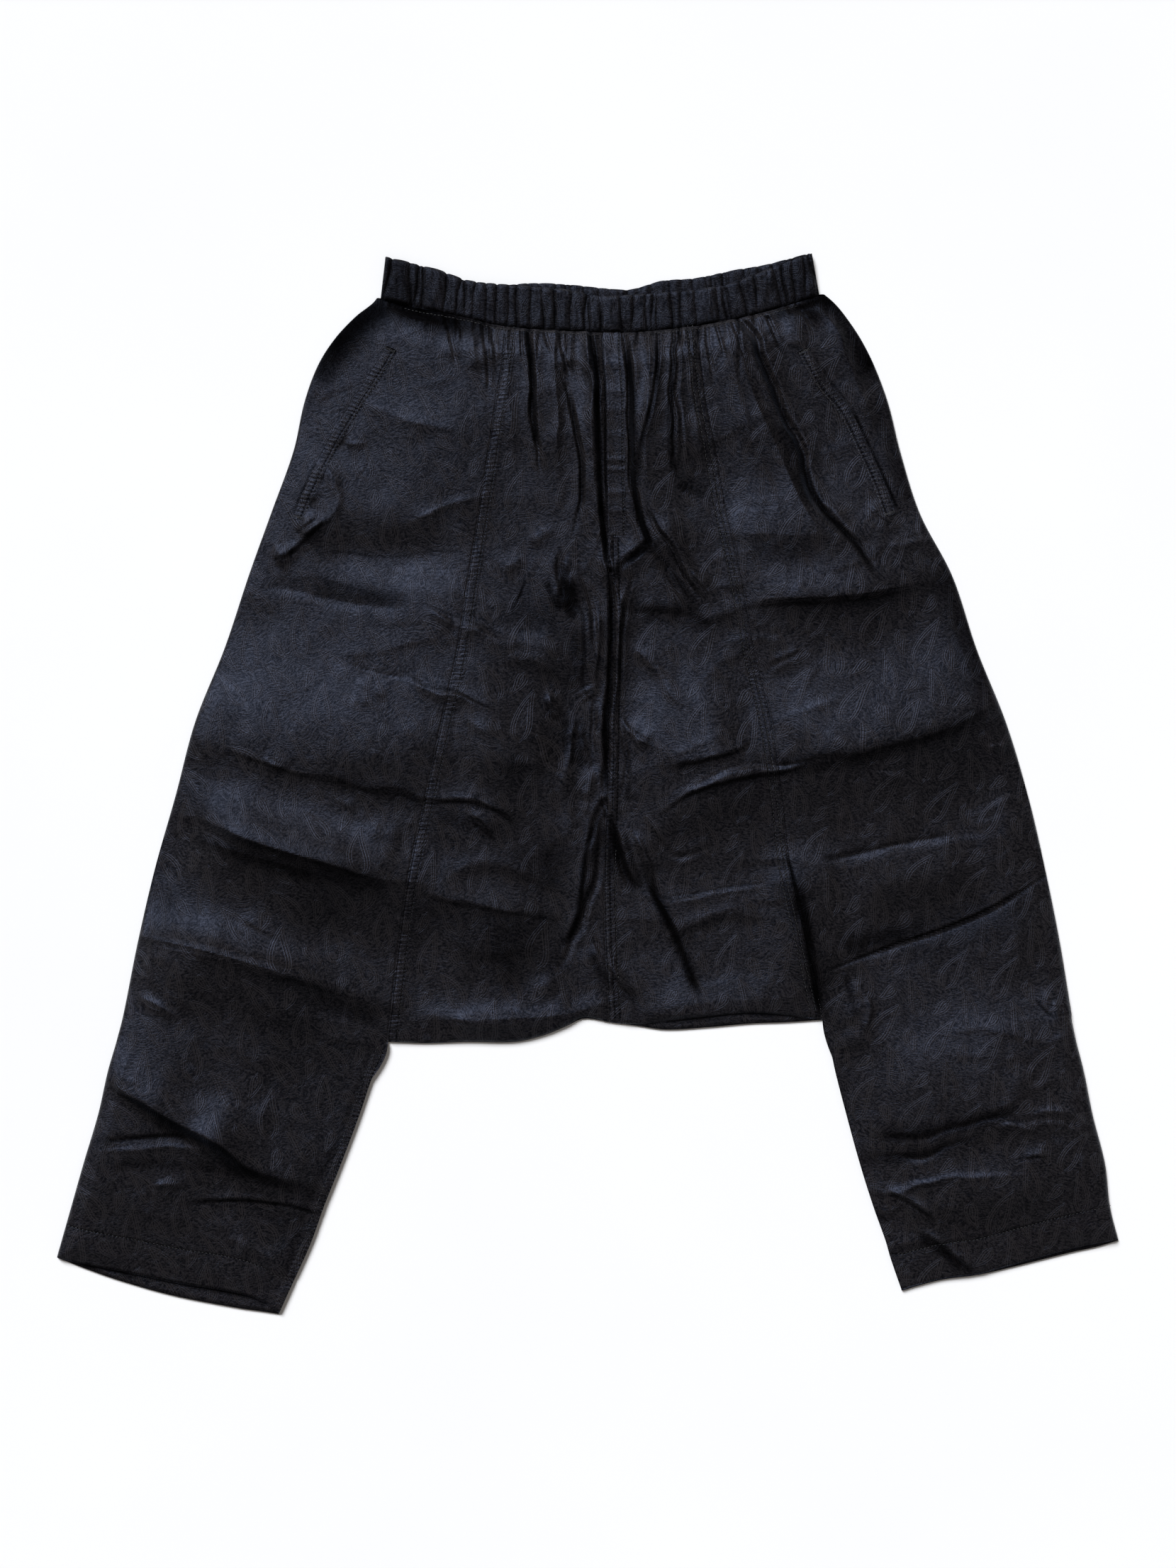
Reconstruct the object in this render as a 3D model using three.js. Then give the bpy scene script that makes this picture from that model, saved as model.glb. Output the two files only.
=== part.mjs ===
import * as THREE from 'three';

// Harem trousers in a thin jacquard cloth, laid flat, front up. Millimetres, +Z up.
// The origin lies on the surface, below the middle of the outline. +Y runs from the hems to the waist.
// Left and right are as seen from above, with the waist away from the viewer.

// Driving dimensions
const CLOTH = 1.2; // wall of one layer of cloth with its seam allowance
const BAND_WALL = 2.2; // waistband: folded casing round its elastic
const SEAM_GAP = 0.3; // between neighbouring pieces
const LOFT = 2.2; // how far the front floats over the back, away from the edges
const LOFT_REACH = 45; // how soon it rises from an edge
const BAND_RIB = 1.2; // height of the gathers of the waistband
const BAND_RIBS = 84; // faces along the front band, two to a gather
const POCKET_STRIP = 10; // width of the stitched pocket edge
const POCKET_ROWS = [1, 6]; // rows of the side panel beside the pocket
const FLY_WIDTH = 15.5; // fly placket
const FLY_ROWS = [0, 6]; // rows of the centre panel under the placket
const BODY_ROWS = 20; // from waist seam to crotch
const LEG_ROWS = 8; // from crotch to hem
const BACK_BODY_ROWS = 12;
const BACK_LEG_ROWS = 5;
const PANEL_COLUMNS = 8;
const BACK_COLUMNS = 6;

// Sections across the body: x of the outline, of the panel seams, and of the centre seam
const BODY = [
  { y: 402, outerL: -169, seamL: -66, centre: 12, seamR: 89, outerR: 189 },
  { y: 392, outerL: -174, seamL: -66, centre: 12, seamR: 89, outerR: 201 },
  { y: 380, outerL: -189, seamL: -66, centre: 12, seamR: 89, outerR: 211 },
  { y: 362, outerL: -206, seamL: -67, centre: 12, seamR: 90, outerR: 223 },
  { y: 340, outerL: -220, seamL: -69, centre: 13, seamR: 92, outerR: 234 },
  { y: 310, outerL: -231, seamL: -74, centre: 15, seamR: 96, outerR: 245 },
  { y: 270, outerL: -240, seamL: -80, centre: 15, seamR: 104, outerR: 255 },
  { y: 220, outerL: -258, seamL: -88, centre: 16, seamR: 113, outerR: 271 },
  { y: 170, outerL: -276, seamL: -96, centre: 17, seamR: 124, outerR: 297 },
  { y: 110, outerL: -296, seamL: -105, centre: 18, seamR: 135, outerR: 317 },
  { y: 50, outerL: -320, seamL: -118, centre: 17, seamR: 149, outerR: 341 },
  { y: -10, outerL: -336, seamL: -131, centre: 16, seamR: 158, outerR: 359 },
  { y: -70, outerL: -353, seamL: -144, centre: 14, seamR: 165, outerR: 373 },
  { y: -130, outerL: -367, seamL: -153, centre: 15, seamR: 178, outerR: 385 },
  { y: -190, outerL: -379, seamL: -160, centre: 18, seamR: 191, outerR: 395 },
  { y: -213, outerL: -385, seamL: -163, centre: 18, seamR: 192, outerR: 400 },
];

// Sections across the two legs
const LEGS = [
  { y: -192, outerL: -379, innerL: -158, innerR: 192, outerR: 395 },
  { y: -211, outerL: -384, innerL: -163, innerR: 197, outerR: 399 },
  { y: -235, outerL: -391, innerL: -174, innerR: 202, outerR: 405 },
  { y: -270, outerL: -399, innerL: -186, innerR: 211, outerR: 412 },
  { y: -310, outerL: -411, innerL: -201, innerR: 222, outerR: 422 },
  { y: -345, outerL: -421, innerL: -215, innerR: 233, outerR: 426 },
  { y: -373, outerL: -429, innerL: -225, innerR: 243, outerR: 433 },
  { y: -387, outerL: -433, innerL: -231, innerR: 247, outerR: 437 },
  { y: -413, outerL: -440, innerL: -243, innerR: 256, outerR: 445 },
  { y: -433, outerL: -446, innerL: -252, innerR: 263, outerR: 451 },
];

// Sections along the waistband: its lower seam and the top edges of its two layers
const BAND = [
  { x: -170, seam: 396, frontTop: 430, backTop: 430 },
  { x: -144, seam: 390, frontTop: 424, backTop: 423 },
  { x: -121, seam: 385, frontTop: 418, backTop: 416 },
  { x: -98, seam: 380, frontTop: 410, backTop: 409 },
  { x: -74, seam: 374, frontTop: 407, backTop: 406 },
  { x: -48, seam: 371, frontTop: 405, backTop: 408 },
  { x: -17, seam: 369, frontTop: 402, backTop: 407 },
  { x: 12, seam: 368, frontTop: 397, backTop: 404 },
  { x: 35, seam: 368, frontTop: 398, backTop: 403 },
  { x: 61, seam: 370, frontTop: 400, backTop: 410 },
  { x: 87, seam: 373, frontTop: 402, backTop: 412 },
  { x: 116, seam: 378, frontTop: 407, backTop: 418 },
  { x: 145, seam: 385, frontTop: 418, backTop: 423 },
  { x: 168, seam: 392, frontTop: 427, backTop: 429 },
  { x: 183, seam: 397, frontTop: 432, backTop: 433 },
  { x: 190, seam: 399, frontTop: 434, backTop: 435 },
];
const BAND_ENDS = { topLeft: -165, seamLeft: -169, topRight: 183, seamRight: 189 };

// Sections along the crotch edge of the front and of the back, which shows below it
const CROTCH = [
  { x: -163, front: -211, back: -211 },
  { x: -132, front: -212, back: -211 },
  { x: -98, front: -211, back: -210 },
  { x: -60, front: -211, back: -210 },
  { x: -37, front: -206, back: -206 },
  { x: -17, front: -198, back: -198 },
  { x: -3, front: -191, back: -192 },
  { x: 18, front: -195, back: -195 },
  { x: 41, front: -197, back: -198 },
  { x: 64, front: -195, back: -201 },
  { x: 99, front: -191, back: -199 },
  { x: 134, front: -188, back: -196 },
  { x: 162, front: -190, back: -195 },
  { x: 192, front: -193, back: -193 },
];

// Sections along the two hems
const HEM_LEFT = [
  { x: -433, front: -387, back: -387 },
  { x: -407, front: -393, back: -397 },
  { x: -381, front: -398, back: -406 },
  { x: -338, front: -407, back: -418 },
  { x: -286, front: -416, back: -428 },
  { x: -265, front: -423, back: -431 },
  { x: -252, front: -432, back: -433 },
];
const HEM_RIGHT = [
  { x: 257, front: -413, back: -414 },
  { x: 266, front: -410, back: -411 },
  { x: 289, front: -404, back: -405 },
  { x: 319, front: -400, back: -401 },
  { x: 345, front: -393, back: -395 },
  { x: 393, front: -380, back: -383 },
  { x: 416, front: -375, back: -378 },
  { x: 433, front: -372, back: -373 },
];

// The slanting pocket edges, which run on as guide lines for the panels' columns
const POCKETS = [
  { y: 402, left: -149, right: 160 },
  { y: 356, left: -164, right: 178 },
  { y: 328, left: -181, right: 194 },
  { y: 306, left: -195, right: 212 },
  { y: 274, left: -214, right: 228 },
  { y: 245, left: -228, right: 241 },
  { y: 214, left: -241, right: 252 },
  { y: 170, left: -252, right: 270 },
  { y: 50, left: -295, right: 312 },
  { y: -70, left: -325, right: 343 },
  { y: -213, left: -352, right: 368 },
];

// The largest pleats and folds of the front: crest from one end to the other, bow to its left, half width, height
const FOLDS = [
  { fold: 'pleat left of fly, outer', x0: -54, y0: 361, x1: -49, y1: 246, bow: 0, width: 7, height: 3 },
  { fold: 'pleat left of fly, middle', x0: -31, y0: 361, x1: -21, y1: 254, bow: 0, width: 8, height: 4 },
  { fold: 'pleat left of fly, inner', x0: -5, y0: 361, x1: 2, y1: 234, bow: 0, width: 7, height: 4.5 },
  { fold: 'pleat right of fly, inner', x0: 43, y0: 361, x1: 55, y1: 231, bow: 2, width: 7, height: 4.5 },
  { fold: 'pleat right of fly, outer', x0: 64, y0: 366, x1: 61, y1: 269, bow: 0, width: 6, height: 3 },
  { fold: 'pleat end right of fly', x0: 58, y0: 234, x1: 102, y1: 159, bow: -4, width: 7, height: 4 },
  { fold: 'long pleat, near bank', x0: 114, y0: 367, x1: 221, y1: 176, bow: -7, width: 12, height: 6 },
  { fold: 'long pleat, far bank', x0: 137, y0: 371, x1: 250, y1: 169, bow: -6, width: 10, height: 4 },
  { fold: 'centre fold, left bank', x0: 13, y0: 188, x1: 9, y1: -49, bow: -2, width: 10, height: 6 },
  { fold: 'centre fold, right bank', x0: 31, y0: 176, x1: 27, y1: -49, bow: 2, width: 9, height: 5 },
  { fold: 'centre fold, left branch', x0: 9, y0: -26, x1: -17, y1: -130, bow: 0, width: 8, height: 4 },
  { fold: 'centre fold, right branch', x0: 19, y0: -26, x1: 44, y1: -98, bow: 0, width: 8, height: 4 },
  { fold: 'fold to crotch, right', x0: 40, y0: -55, x1: 92, y1: -182, bow: 2, width: 8, height: 3.5 },
  { fold: 'fold to crotch, middle', x0: -3, y0: -118, x1: 44, y1: -181, bow: 0, width: 8, height: 3 },
  { fold: 'right body, upper', x0: 128, y0: 150, x1: 287, y1: 165, bow: 2, width: 9, height: 3.5 },
  { fold: 'right body, middle step', x0: 142, y0: 23, x1: 331, y1: 69, bow: -3, width: 14, height: 5 },
  { fold: 'right body, lower', x0: 194, y0: -58, x1: 295, y1: -38, bow: 0, width: 9, height: 3 },
  { fold: 'right leg, top', x0: 214, y0: -161, x1: 375, y1: -91, bow: 0, width: 9, height: 3 },
  { fold: 'right centre, upper', x0: 68, y0: 3, x1: 139, y1: 25, bow: 0, width: 7, height: 2.5 },
  { fold: 'right centre, lower', x0: 59, y0: -32, x1: 145, y1: 3, bow: 0, width: 7, height: 2 },
  { fold: 'leg over centre panel', x0: 169, y0: -84, x1: 194, y1: -191, bow: -2, width: 7, height: 3 },
  { fold: 'left hip', x0: -232, y0: 181, x1: -95, y1: 182, bow: 2, width: 12, height: 2.5 },
  { fold: 'left body, upper', x0: -251, y0: 150, x1: -125, y1: 136, bow: 0, width: 8, height: 3.5 },
  { fold: 'left body, second', x0: -207, y0: 86, x1: -73, y1: 57, bow: -1, width: 8, height: 2.5 },
  { fold: 'left body, middle', x0: -303, y0: 28, x1: -76, y1: -16, bow: -3, width: 8, height: 3.5 },
  { fold: 'left body, lower step', x0: -328, y0: -26, x1: -145, y1: -78, bow: 4, width: 13, height: 5 },
  { fold: 'left centre, lower', x0: -132, y0: -88, x1: -33, y1: -107, bow: 0, width: 8, height: 3 },
  { fold: 'left leg, top crease', x0: -367, y0: -125, x1: -162, y1: -181, bow: -3, width: 8, height: 4 },
  { fold: 'left leg, diagonal', x0: -384, y0: -235, x1: -245, y1: -316, bow: -4, width: 10, height: 5 },
  { fold: 'left leg, outer', x0: -403, y0: -302, x1: -311, y1: -306, bow: 0, width: 8, height: 3 },
  { fold: 'left leg, above hem', x0: -330, y0: -332, x1: -215, y1: -343, bow: -2, width: 9, height: 4 },
  { fold: 'right leg, upper', x0: 236, y0: -300, x1: 336, y1: -280, bow: 0, width: 8, height: 3 },
  { fold: 'right leg, lower', x0: 237, y0: -318, x1: 298, y1: -306, bow: 0, width: 7, height: 2.5 },
  { fold: 'right leg, above hem', x0: 267, y0: -338, x1: 356, y1: -329, bow: 0, width: 8, height: 3 },
  { fold: 'right leg, outer', x0: 353, y0: -271, x1: 413, y1: -283, bow: 0, width: 7, height: 2.5 },
  { fold: 'right hem wedge', x0: 262, y0: -365, x1: 317, y1: -399, bow: 0, width: 8, height: 4 },
];

const lerp = (a, b, t) => a + (b - a) * t;
const clamp = (t) => Math.min(1, Math.max(0, t));

// A table read as a smooth curve: the column `of` against the column `by`
function curve(rows, by, of) {
  const pts = rows.map((r) => [r[by], r[of]]).sort((a, b) => a[0] - b[0]);
  const slope = pts.map((p, i) => {
    const a = pts[Math.max(0, i - 1)];
    const b = pts[Math.min(pts.length - 1, i + 1)];
    return (b[1] - a[1]) / (b[0] - a[0]);
  });
  return (q) => {
    const c = Math.min(pts[pts.length - 1][0], Math.max(pts[0][0], q));
    let i = 0;
    while (i < pts.length - 2 && c > pts[i + 1][0]) i++;
    const w = pts[i + 1][0] - pts[i][0];
    const t = (c - pts[i][0]) / w;
    const t2 = t * t;
    const t3 = t2 * t;
    return (2 * t3 - 3 * t2 + 1) * pts[i][1] + (t3 - 2 * t2 + t) * w * slope[i]
      + (3 * t2 - 2 * t3) * pts[i + 1][1] + (t3 - t2) * w * slope[i + 1];
  };
}

const outerL = curve(BODY, 'y', 'outerL');
const seamL = curve(BODY, 'y', 'seamL');
const centre = curve(BODY, 'y', 'centre');
const seamR = curve(BODY, 'y', 'seamR');
const outerR = curve(BODY, 'y', 'outerR');
const legOuterL = curve(LEGS, 'y', 'outerL');
const legInnerL = curve(LEGS, 'y', 'innerL');
const legInnerR = curve(LEGS, 'y', 'innerR');
const legOuterR = curve(LEGS, 'y', 'outerR');
const pocketL = curve(POCKETS, 'y', 'left');
const pocketR = curve(POCKETS, 'y', 'right');
const bandSeam = curve(BAND, 'x', 'seam');

// Both layers share these places; `layer` is 'front' or 'back'
const TOP = { outerL: 395, seamL: bandSeam(-66), centre: bandSeam(12), seamR: bandSeam(89), outerR: 399 };
const CROTCH_Y = { outerL: -205, seamL: -211, centre: -195, seamR: -193, outerR: -187 };

// A side of a patch that runs down the garment between two heights
const down = (xOf, y0, y1, dx = 0) => (t) => {
  const y = lerp(y0, y1, t);
  return [xOf(y) + dx, y];
};
// A side that runs across between two places, with its height read from a table
const across = (yOf, x0, x1, dy = 0) => (t) => {
  const x = lerp(x0, x1, t);
  return [x, yOf(x) + dy];
};
const straight = (a, b) => (t) => [lerp(a[0], b[0], t), lerp(a[1], b[1], t)];

// A patch between four sides that share their corners
const patch = (left, right, top, bottom) => (u, v) => {
  const a = left(v);
  const b = right(v);
  const c = top(u);
  const d = bottom(u);
  const tl = left(0);
  const tr = right(0);
  const bl = left(1);
  const br = right(1);
  return [0, 1].map((k) => (1 - u) * a[k] + u * b[k] + (1 - v) * c[k] + v * d[k]
    - (1 - u) * (1 - v) * tl[k] - u * (1 - v) * tr[k] - (1 - u) * v * bl[k] - u * v * br[k]);
};

const even = (n, a = 0, b = 1) => Array.from({ length: n + 1 }, (_, i) => lerp(a, b, i / n));

// The outline where the front comes down on the back: sides, hems, inner legs and crotch
const HALF_GAP = SEAM_GAP * 0.54;
const WAIST_DROP = SEAM_GAP * 1.3;
const BACK_WAIST_DROP = SEAM_GAP * 3; // its edge has longer chords
const outline = [];
{
  const walk = (side, n) => {
    for (const t of even(n)) outline.push(side(t));
  };
  const hemL = curve(HEM_LEFT, 'x', 'front');
  const hemR = curve(HEM_RIGHT, 'x', 'front');
  const crotch = curve(CROTCH, 'x', 'front');
  walk(down(outerL, TOP.outerL, CROTCH_Y.outerL), 24);
  walk(down(legOuterL, CROTCH_Y.outerL, -387), 6);
  walk(across(hemL, -433, -252), 8);
  walk(down(legInnerL, -433, CROTCH_Y.seamL), 8);
  walk(across(crotch, -163, 192), 16);
  walk(down(legInnerR, CROTCH_Y.seamR, -413), 8);
  walk(across(hemR, 257, 433), 8);
  walk(down(legOuterR, -373, CROTCH_Y.outerR), 6);
  walk(down(outerR, CROTCH_Y.outerR, TOP.outerR), 24);
}
function edgeDistance(x, y) {
  let best = Infinity;
  for (let i = 1; i < outline.length; i++) {
    const [ax, ay] = outline[i - 1];
    const dx = outline[i][0] - ax;
    const dy = outline[i][1] - ay;
    const t = clamp(((x - ax) * dx + (y - ay) * dy) / (dx * dx + dy * dy || 1));
    best = Math.min(best, Math.hypot(x - ax - t * dx, y - ay - t * dy));
  }
  return best;
}

// Height of the underside of the front layer
function frontHeight(x, y) {
  const d = edgeDistance(x, y);
  const settle = 1 - Math.exp(-((d / LOFT_REACH) ** 2) * 3);
  let z = LOFT * settle;
  for (const f of FOLDS) {
    const dx = f.x1 - f.x0;
    const dy = f.y1 - f.y0;
    const len = Math.hypot(dx, dy);
    const s = ((x - f.x0) * dx + (y - f.y0) * dy) / (len * len);
    if (s < -0.15 || s > 1.15) continue;
    const c = clamp(s);
    const side = ((y - f.y0) * dx - (x - f.x0) * dy) / len - f.bow * 4 * c * (1 - c);
    const past = Math.max(0, -s, s - 1) * len;
    const ends = Math.sin(Math.PI * clamp(0.08 + 0.84 * c)) ** 0.6;
    z += f.height * ends * Math.exp(-((side / f.width) ** 2) - (past / f.width) ** 2) * clamp(0.25 + d / 25);
  }
  return CLOTH + SEAM_GAP + Math.max(0, z);
}
const backHeight = () => 0;

// Rows of points [x, y, z] through patches stacked down the garment
function rowsOf(patches, height) {
  const rows = [];
  patches.forEach(({ at, us, vs }, k) => {
    vs.forEach((v, j) => {
      if (k > 0 && j === 0) return;
      rows.push(us(v).map((u) => {
        const [x, y] = at(u, v);
        return [x, y, height(x, y)];
      }));
    });
  });
  return rows;
}
const raised = (rows, by) => rows.map((r, j) => r.map(([x, y, z], i) => [x, y, z + (typeof by === 'function' ? by(i, j) : by)]));

// A closed wall between a grid of points and the same grid moved up; columns run left to right, rows run down
function wall(name, under, over, look) {
  const n = under[0].length;
  const m = under.length;
  const at = (i, j, up) => (up ? m * n : 0) + j * n + i;
  const positions = [...under.flat(), ...over.flat()].flat();
  const index = [];
  for (let j = 0; j < m - 1; j++) {
    for (let i = 0; i < n - 1; i++) {
      index.push(at(i, j, 1), at(i, j + 1, 1), at(i + 1, j + 1, 1), at(i, j, 1), at(i + 1, j + 1, 1), at(i + 1, j, 1));
      index.push(at(i, j, 0), at(i + 1, j + 1, 0), at(i, j + 1, 0), at(i, j, 0), at(i + 1, j, 0), at(i + 1, j + 1, 0));
    }
  }
  const ring = [];
  for (let j = 0; j < m - 1; j++) ring.push([0, j]);
  for (let i = 0; i < n - 1; i++) ring.push([i, m - 1]);
  for (let j = m - 1; j > 0; j--) ring.push([n - 1, j]);
  for (let i = n - 1; i > 0; i--) ring.push([i, 0]);
  ring.forEach(([i, j], k) => {
    const [p, q] = ring[(k + 1) % ring.length];
    index.push(at(i, j, 0), at(p, q, 0), at(p, q, 1), at(i, j, 0), at(p, q, 1), at(i, j, 1));
  });
  const geometry = new THREE.BufferGeometry();
  geometry.setAttribute('position', new THREE.Float32BufferAttribute(positions, 3));
  geometry.setIndex(index);
  geometry.computeVertexNormals();
  const mesh = new THREE.Mesh(geometry, new THREE.MeshStandardMaterial({ ...look }));
  mesh.name = name;
  return mesh;
}

const CLOTH_LOOK = { color: 0x1d1f26, roughness: 0.62, metalness: 0 };
const BAND_LOOK = { color: 0x1b1d24, roughness: 0.66, metalness: 0 };

const trousers = new THREE.Group();

// The four pieces of a layer that run from the waist seam: two side panels with their legs, two centre panels
function layer(side, height, bodyRows, legRows, columns) {
  const crotch = curve(CROTCH, 'x', side);
  const hemL = curve(HEM_LEFT, 'x', side);
  const hemR = curve(HEM_RIGHT, 'x', side);
  const drop = side === 'front' ? -WAIST_DROP : -BACK_WAIST_DROP;
  const waist = (x) => bandSeam(x) + drop;
  const rows = even(bodyRows);
  const g = HALF_GAP;
  const pieces = {};

  // Left side panel: the pocket line splits its columns
  const bodyL = patch(
    down(outerL, TOP.outerL + drop, CROTCH_Y.outerL),
    down(seamL, TOP.seamL + drop, CROTCH_Y.seamL, -g),
    across(waist, outerL(TOP.outerL + drop), seamL(TOP.seamL + drop) - g),
    straight([outerL(CROTCH_Y.outerL), CROTCH_Y.outerL], [seamL(CROTCH_Y.seamL) - g, CROTCH_Y.seamL]),
  );
  const split = (at, line, v, flip) => {
    let lo = 0;
    let hi = 1;
    for (let k = 0; k < 30; k++) {
      const mid = (lo + hi) / 2;
      const [x, y] = at(mid, v);
      if (x < line(y)) lo = mid; else hi = mid;
    }
    const edge = (lo + hi) / 2;
    const step = POCKET_STRIP / Math.abs(at(1, v)[0] - at(0, v)[0]);
    return flip
      ? [...even(columns, 0, edge - step), ...even(1, edge - step, edge).slice(1), ...even(3, edge, 1).slice(1)]
      : [...even(3, 0, edge), ...even(1, edge, edge + step).slice(1), ...even(columns, edge + step, 1).slice(1)];
  };
  const usL = (v) => (side === 'front' ? split(bodyL, pocketL, v, false) : even(columns));
  const legL = patch(
    down(legOuterL, CROTCH_Y.outerL, -387),
    down((y) => lerp(seamL(CROTCH_Y.seamL) - g, legInnerL(y), clamp((CROTCH_Y.seamL - y) / 30)), CROTCH_Y.seamL, hemL(-252)),
    straight([legOuterL(CROTCH_Y.outerL), CROTCH_Y.outerL], [seamL(CROTCH_Y.seamL) - g, CROTCH_Y.seamL]),
    across(hemL, legOuterL(-387), legInnerL(hemL(-252))),
  );
  pieces[`${side}_side_left`] = rowsOf([
    { at: bodyL, us: usL, vs: rows },
    { at: legL, us: () => usL(1), vs: even(legRows) },
  ], height);

  const bodyCL = patch(
    down(seamL, TOP.seamL + drop, CROTCH_Y.seamL, g),
    down(centre, TOP.centre + drop, CROTCH_Y.centre, -g),
    across(waist, seamL(TOP.seamL + drop) + g, centre(TOP.centre + drop) - g),
    across(crotch, seamL(CROTCH_Y.seamL) + g, centre(CROTCH_Y.centre) - g),
  );
  pieces[`${side}_centre_left`] = rowsOf([{ at: bodyCL, us: () => even(columns), vs: rows }], height);

  // Right centre panel: its first columns lie under the placket
  const bodyCR = patch(
    down(centre, TOP.centre + drop, CROTCH_Y.centre, g),
    down(seamR, TOP.seamR + drop, CROTCH_Y.seamR, -g),
    across(waist, centre(TOP.centre + drop) + g, seamR(TOP.seamR + drop) - g),
    across(crotch, centre(CROTCH_Y.centre) + g, seamR(CROTCH_Y.seamR) - g),
  );
  const usCR = (v) => {
    if (side === 'back') return even(columns);
    const f = FLY_WIDTH / (bodyCR(1, v)[0] - bodyCR(0, v)[0]);
    return [...even(2, 0, f), ...even(columns - 1, f, 1).slice(1)];
  };
  pieces[`${side}_centre_right`] = rowsOf([{ at: bodyCR, us: usCR, vs: rows }], height);

  const bodyR = patch(
    down(seamR, TOP.seamR + drop, CROTCH_Y.seamR, g),
    down(outerR, TOP.outerR + drop, CROTCH_Y.outerR),
    across(waist, seamR(TOP.seamR + drop) + g, outerR(TOP.outerR + drop)),
    straight([seamR(CROTCH_Y.seamR) + g, CROTCH_Y.seamR], [outerR(CROTCH_Y.outerR), CROTCH_Y.outerR]),
  );
  const usR = (v) => (side === 'front' ? split(bodyR, pocketR, v, true) : even(columns));
  const legR = patch(
    down((y) => lerp(seamR(CROTCH_Y.seamR) + g, legInnerR(y), clamp((CROTCH_Y.seamR - y) / 30)), CROTCH_Y.seamR, hemR(257)),
    down(legOuterR, CROTCH_Y.outerR, hemR(433)),
    straight([seamR(CROTCH_Y.seamR) + g, CROTCH_Y.seamR], [legOuterR(CROTCH_Y.outerR), CROTCH_Y.outerR]),
    across(hemR, legInnerR(hemR(257)), legOuterR(hemR(433))),
  );
  pieces[`${side}_side_right`] = rowsOf([
    { at: bodyR, us: usR, vs: rows },
    { at: legR, us: () => usR(1), vs: even(legRows) },
  ], height);

  for (const [name, grid] of Object.entries(pieces)) trousers.add(wall(name, grid, raised(grid, CLOTH), CLOTH_LOOK));
  return pieces;
}

layer('back', backHeight, BACK_BODY_ROWS, BACK_LEG_ROWS, BACK_COLUMNS);
const front = layer('front', frontHeight, BODY_ROWS, LEG_ROWS, PANEL_COLUMNS);

// A strip that lies on a panel: some of the panel's own rows and columns, moved out
function strip(name, panel, [row0, row1], [col0, col1], look) {
  const part = panel.slice(row0, row1 + 1).map((r) => r.slice(col0, col1 + 1));
  const under = raised(part, CLOTH + SEAM_GAP);
  trousers.add(wall(name, under, raised(under, CLOTH), look));
}
strip('fly_placket', front.front_centre_right, FLY_ROWS, [0, 2], CLOTH_LOOK);
strip('pocket_edge_left', front.front_side_left, POCKET_ROWS, [3, 4], CLOTH_LOOK);
strip('pocket_edge_right', front.front_side_right, POCKET_ROWS, [PANEL_COLUMNS, PANEL_COLUMNS + 1], CLOTH_LOOK);

// Waistband: two flat layers of the gathered casing, the front one on the back one
function band(name, column, faces, rowsDown, under, rib) {
  const topEdge = curve(BAND, 'x', column);
  const E = BAND_ENDS;
  const left = straight([E.topLeft, topEdge(E.topLeft)], [E.seamLeft, bandSeam(E.seamLeft)]);
  const right = straight([E.topRight, topEdge(E.topRight)], [E.seamRight, bandSeam(E.seamRight)]);
  const at = patch(left, right, across(topEdge, E.topLeft, E.topRight), across(bandSeam, E.seamLeft, E.seamRight));
  const grid = rowsOf([{ at, us: () => even(faces), vs: even(rowsDown) }], () => under);
  trousers.add(wall(name, grid, raised(grid, (i) => BAND_WALL + rib(i)), BAND_LOOK));
}
band('waistband_back', 'backTop', BAND_RIBS / 2, 1, 0, () => 0);
band('waistband_front', 'frontTop', BAND_RIBS, 2, BAND_WALL + SEAM_GAP, (i) => BAND_RIB * (i % 2) * (0.65 + 0.35 * Math.sin(i * 2.4)));

export default trousers;
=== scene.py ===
import math

import bpy
import numpy as np
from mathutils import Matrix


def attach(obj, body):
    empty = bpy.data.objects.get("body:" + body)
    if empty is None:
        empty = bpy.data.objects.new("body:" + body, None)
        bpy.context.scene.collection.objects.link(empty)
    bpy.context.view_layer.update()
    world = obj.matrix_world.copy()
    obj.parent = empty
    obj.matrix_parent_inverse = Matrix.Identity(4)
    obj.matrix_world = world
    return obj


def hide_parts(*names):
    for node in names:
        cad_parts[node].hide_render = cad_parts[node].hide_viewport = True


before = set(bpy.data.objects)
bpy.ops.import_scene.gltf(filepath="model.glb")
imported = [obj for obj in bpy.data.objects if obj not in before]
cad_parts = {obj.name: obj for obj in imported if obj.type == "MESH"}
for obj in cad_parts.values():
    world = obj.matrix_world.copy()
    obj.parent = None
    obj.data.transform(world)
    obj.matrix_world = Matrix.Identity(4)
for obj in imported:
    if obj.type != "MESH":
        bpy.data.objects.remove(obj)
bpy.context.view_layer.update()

# Harem trousers laid flat, front up. Tables are in millimetres, in the frame of the solids: +Y to the waist, +Z up.
MM = 0.001
CLOTH = 1.2  # wall of a panel
BAND_WALL = 2.2
GAP = 0.3
LOFT = 2.4
LOFT_REACH = 45.0
BACK_TOP = 1.15
LOWEST_FRONT = 2.0  # top of the front cloth where it lies right on the back

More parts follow.
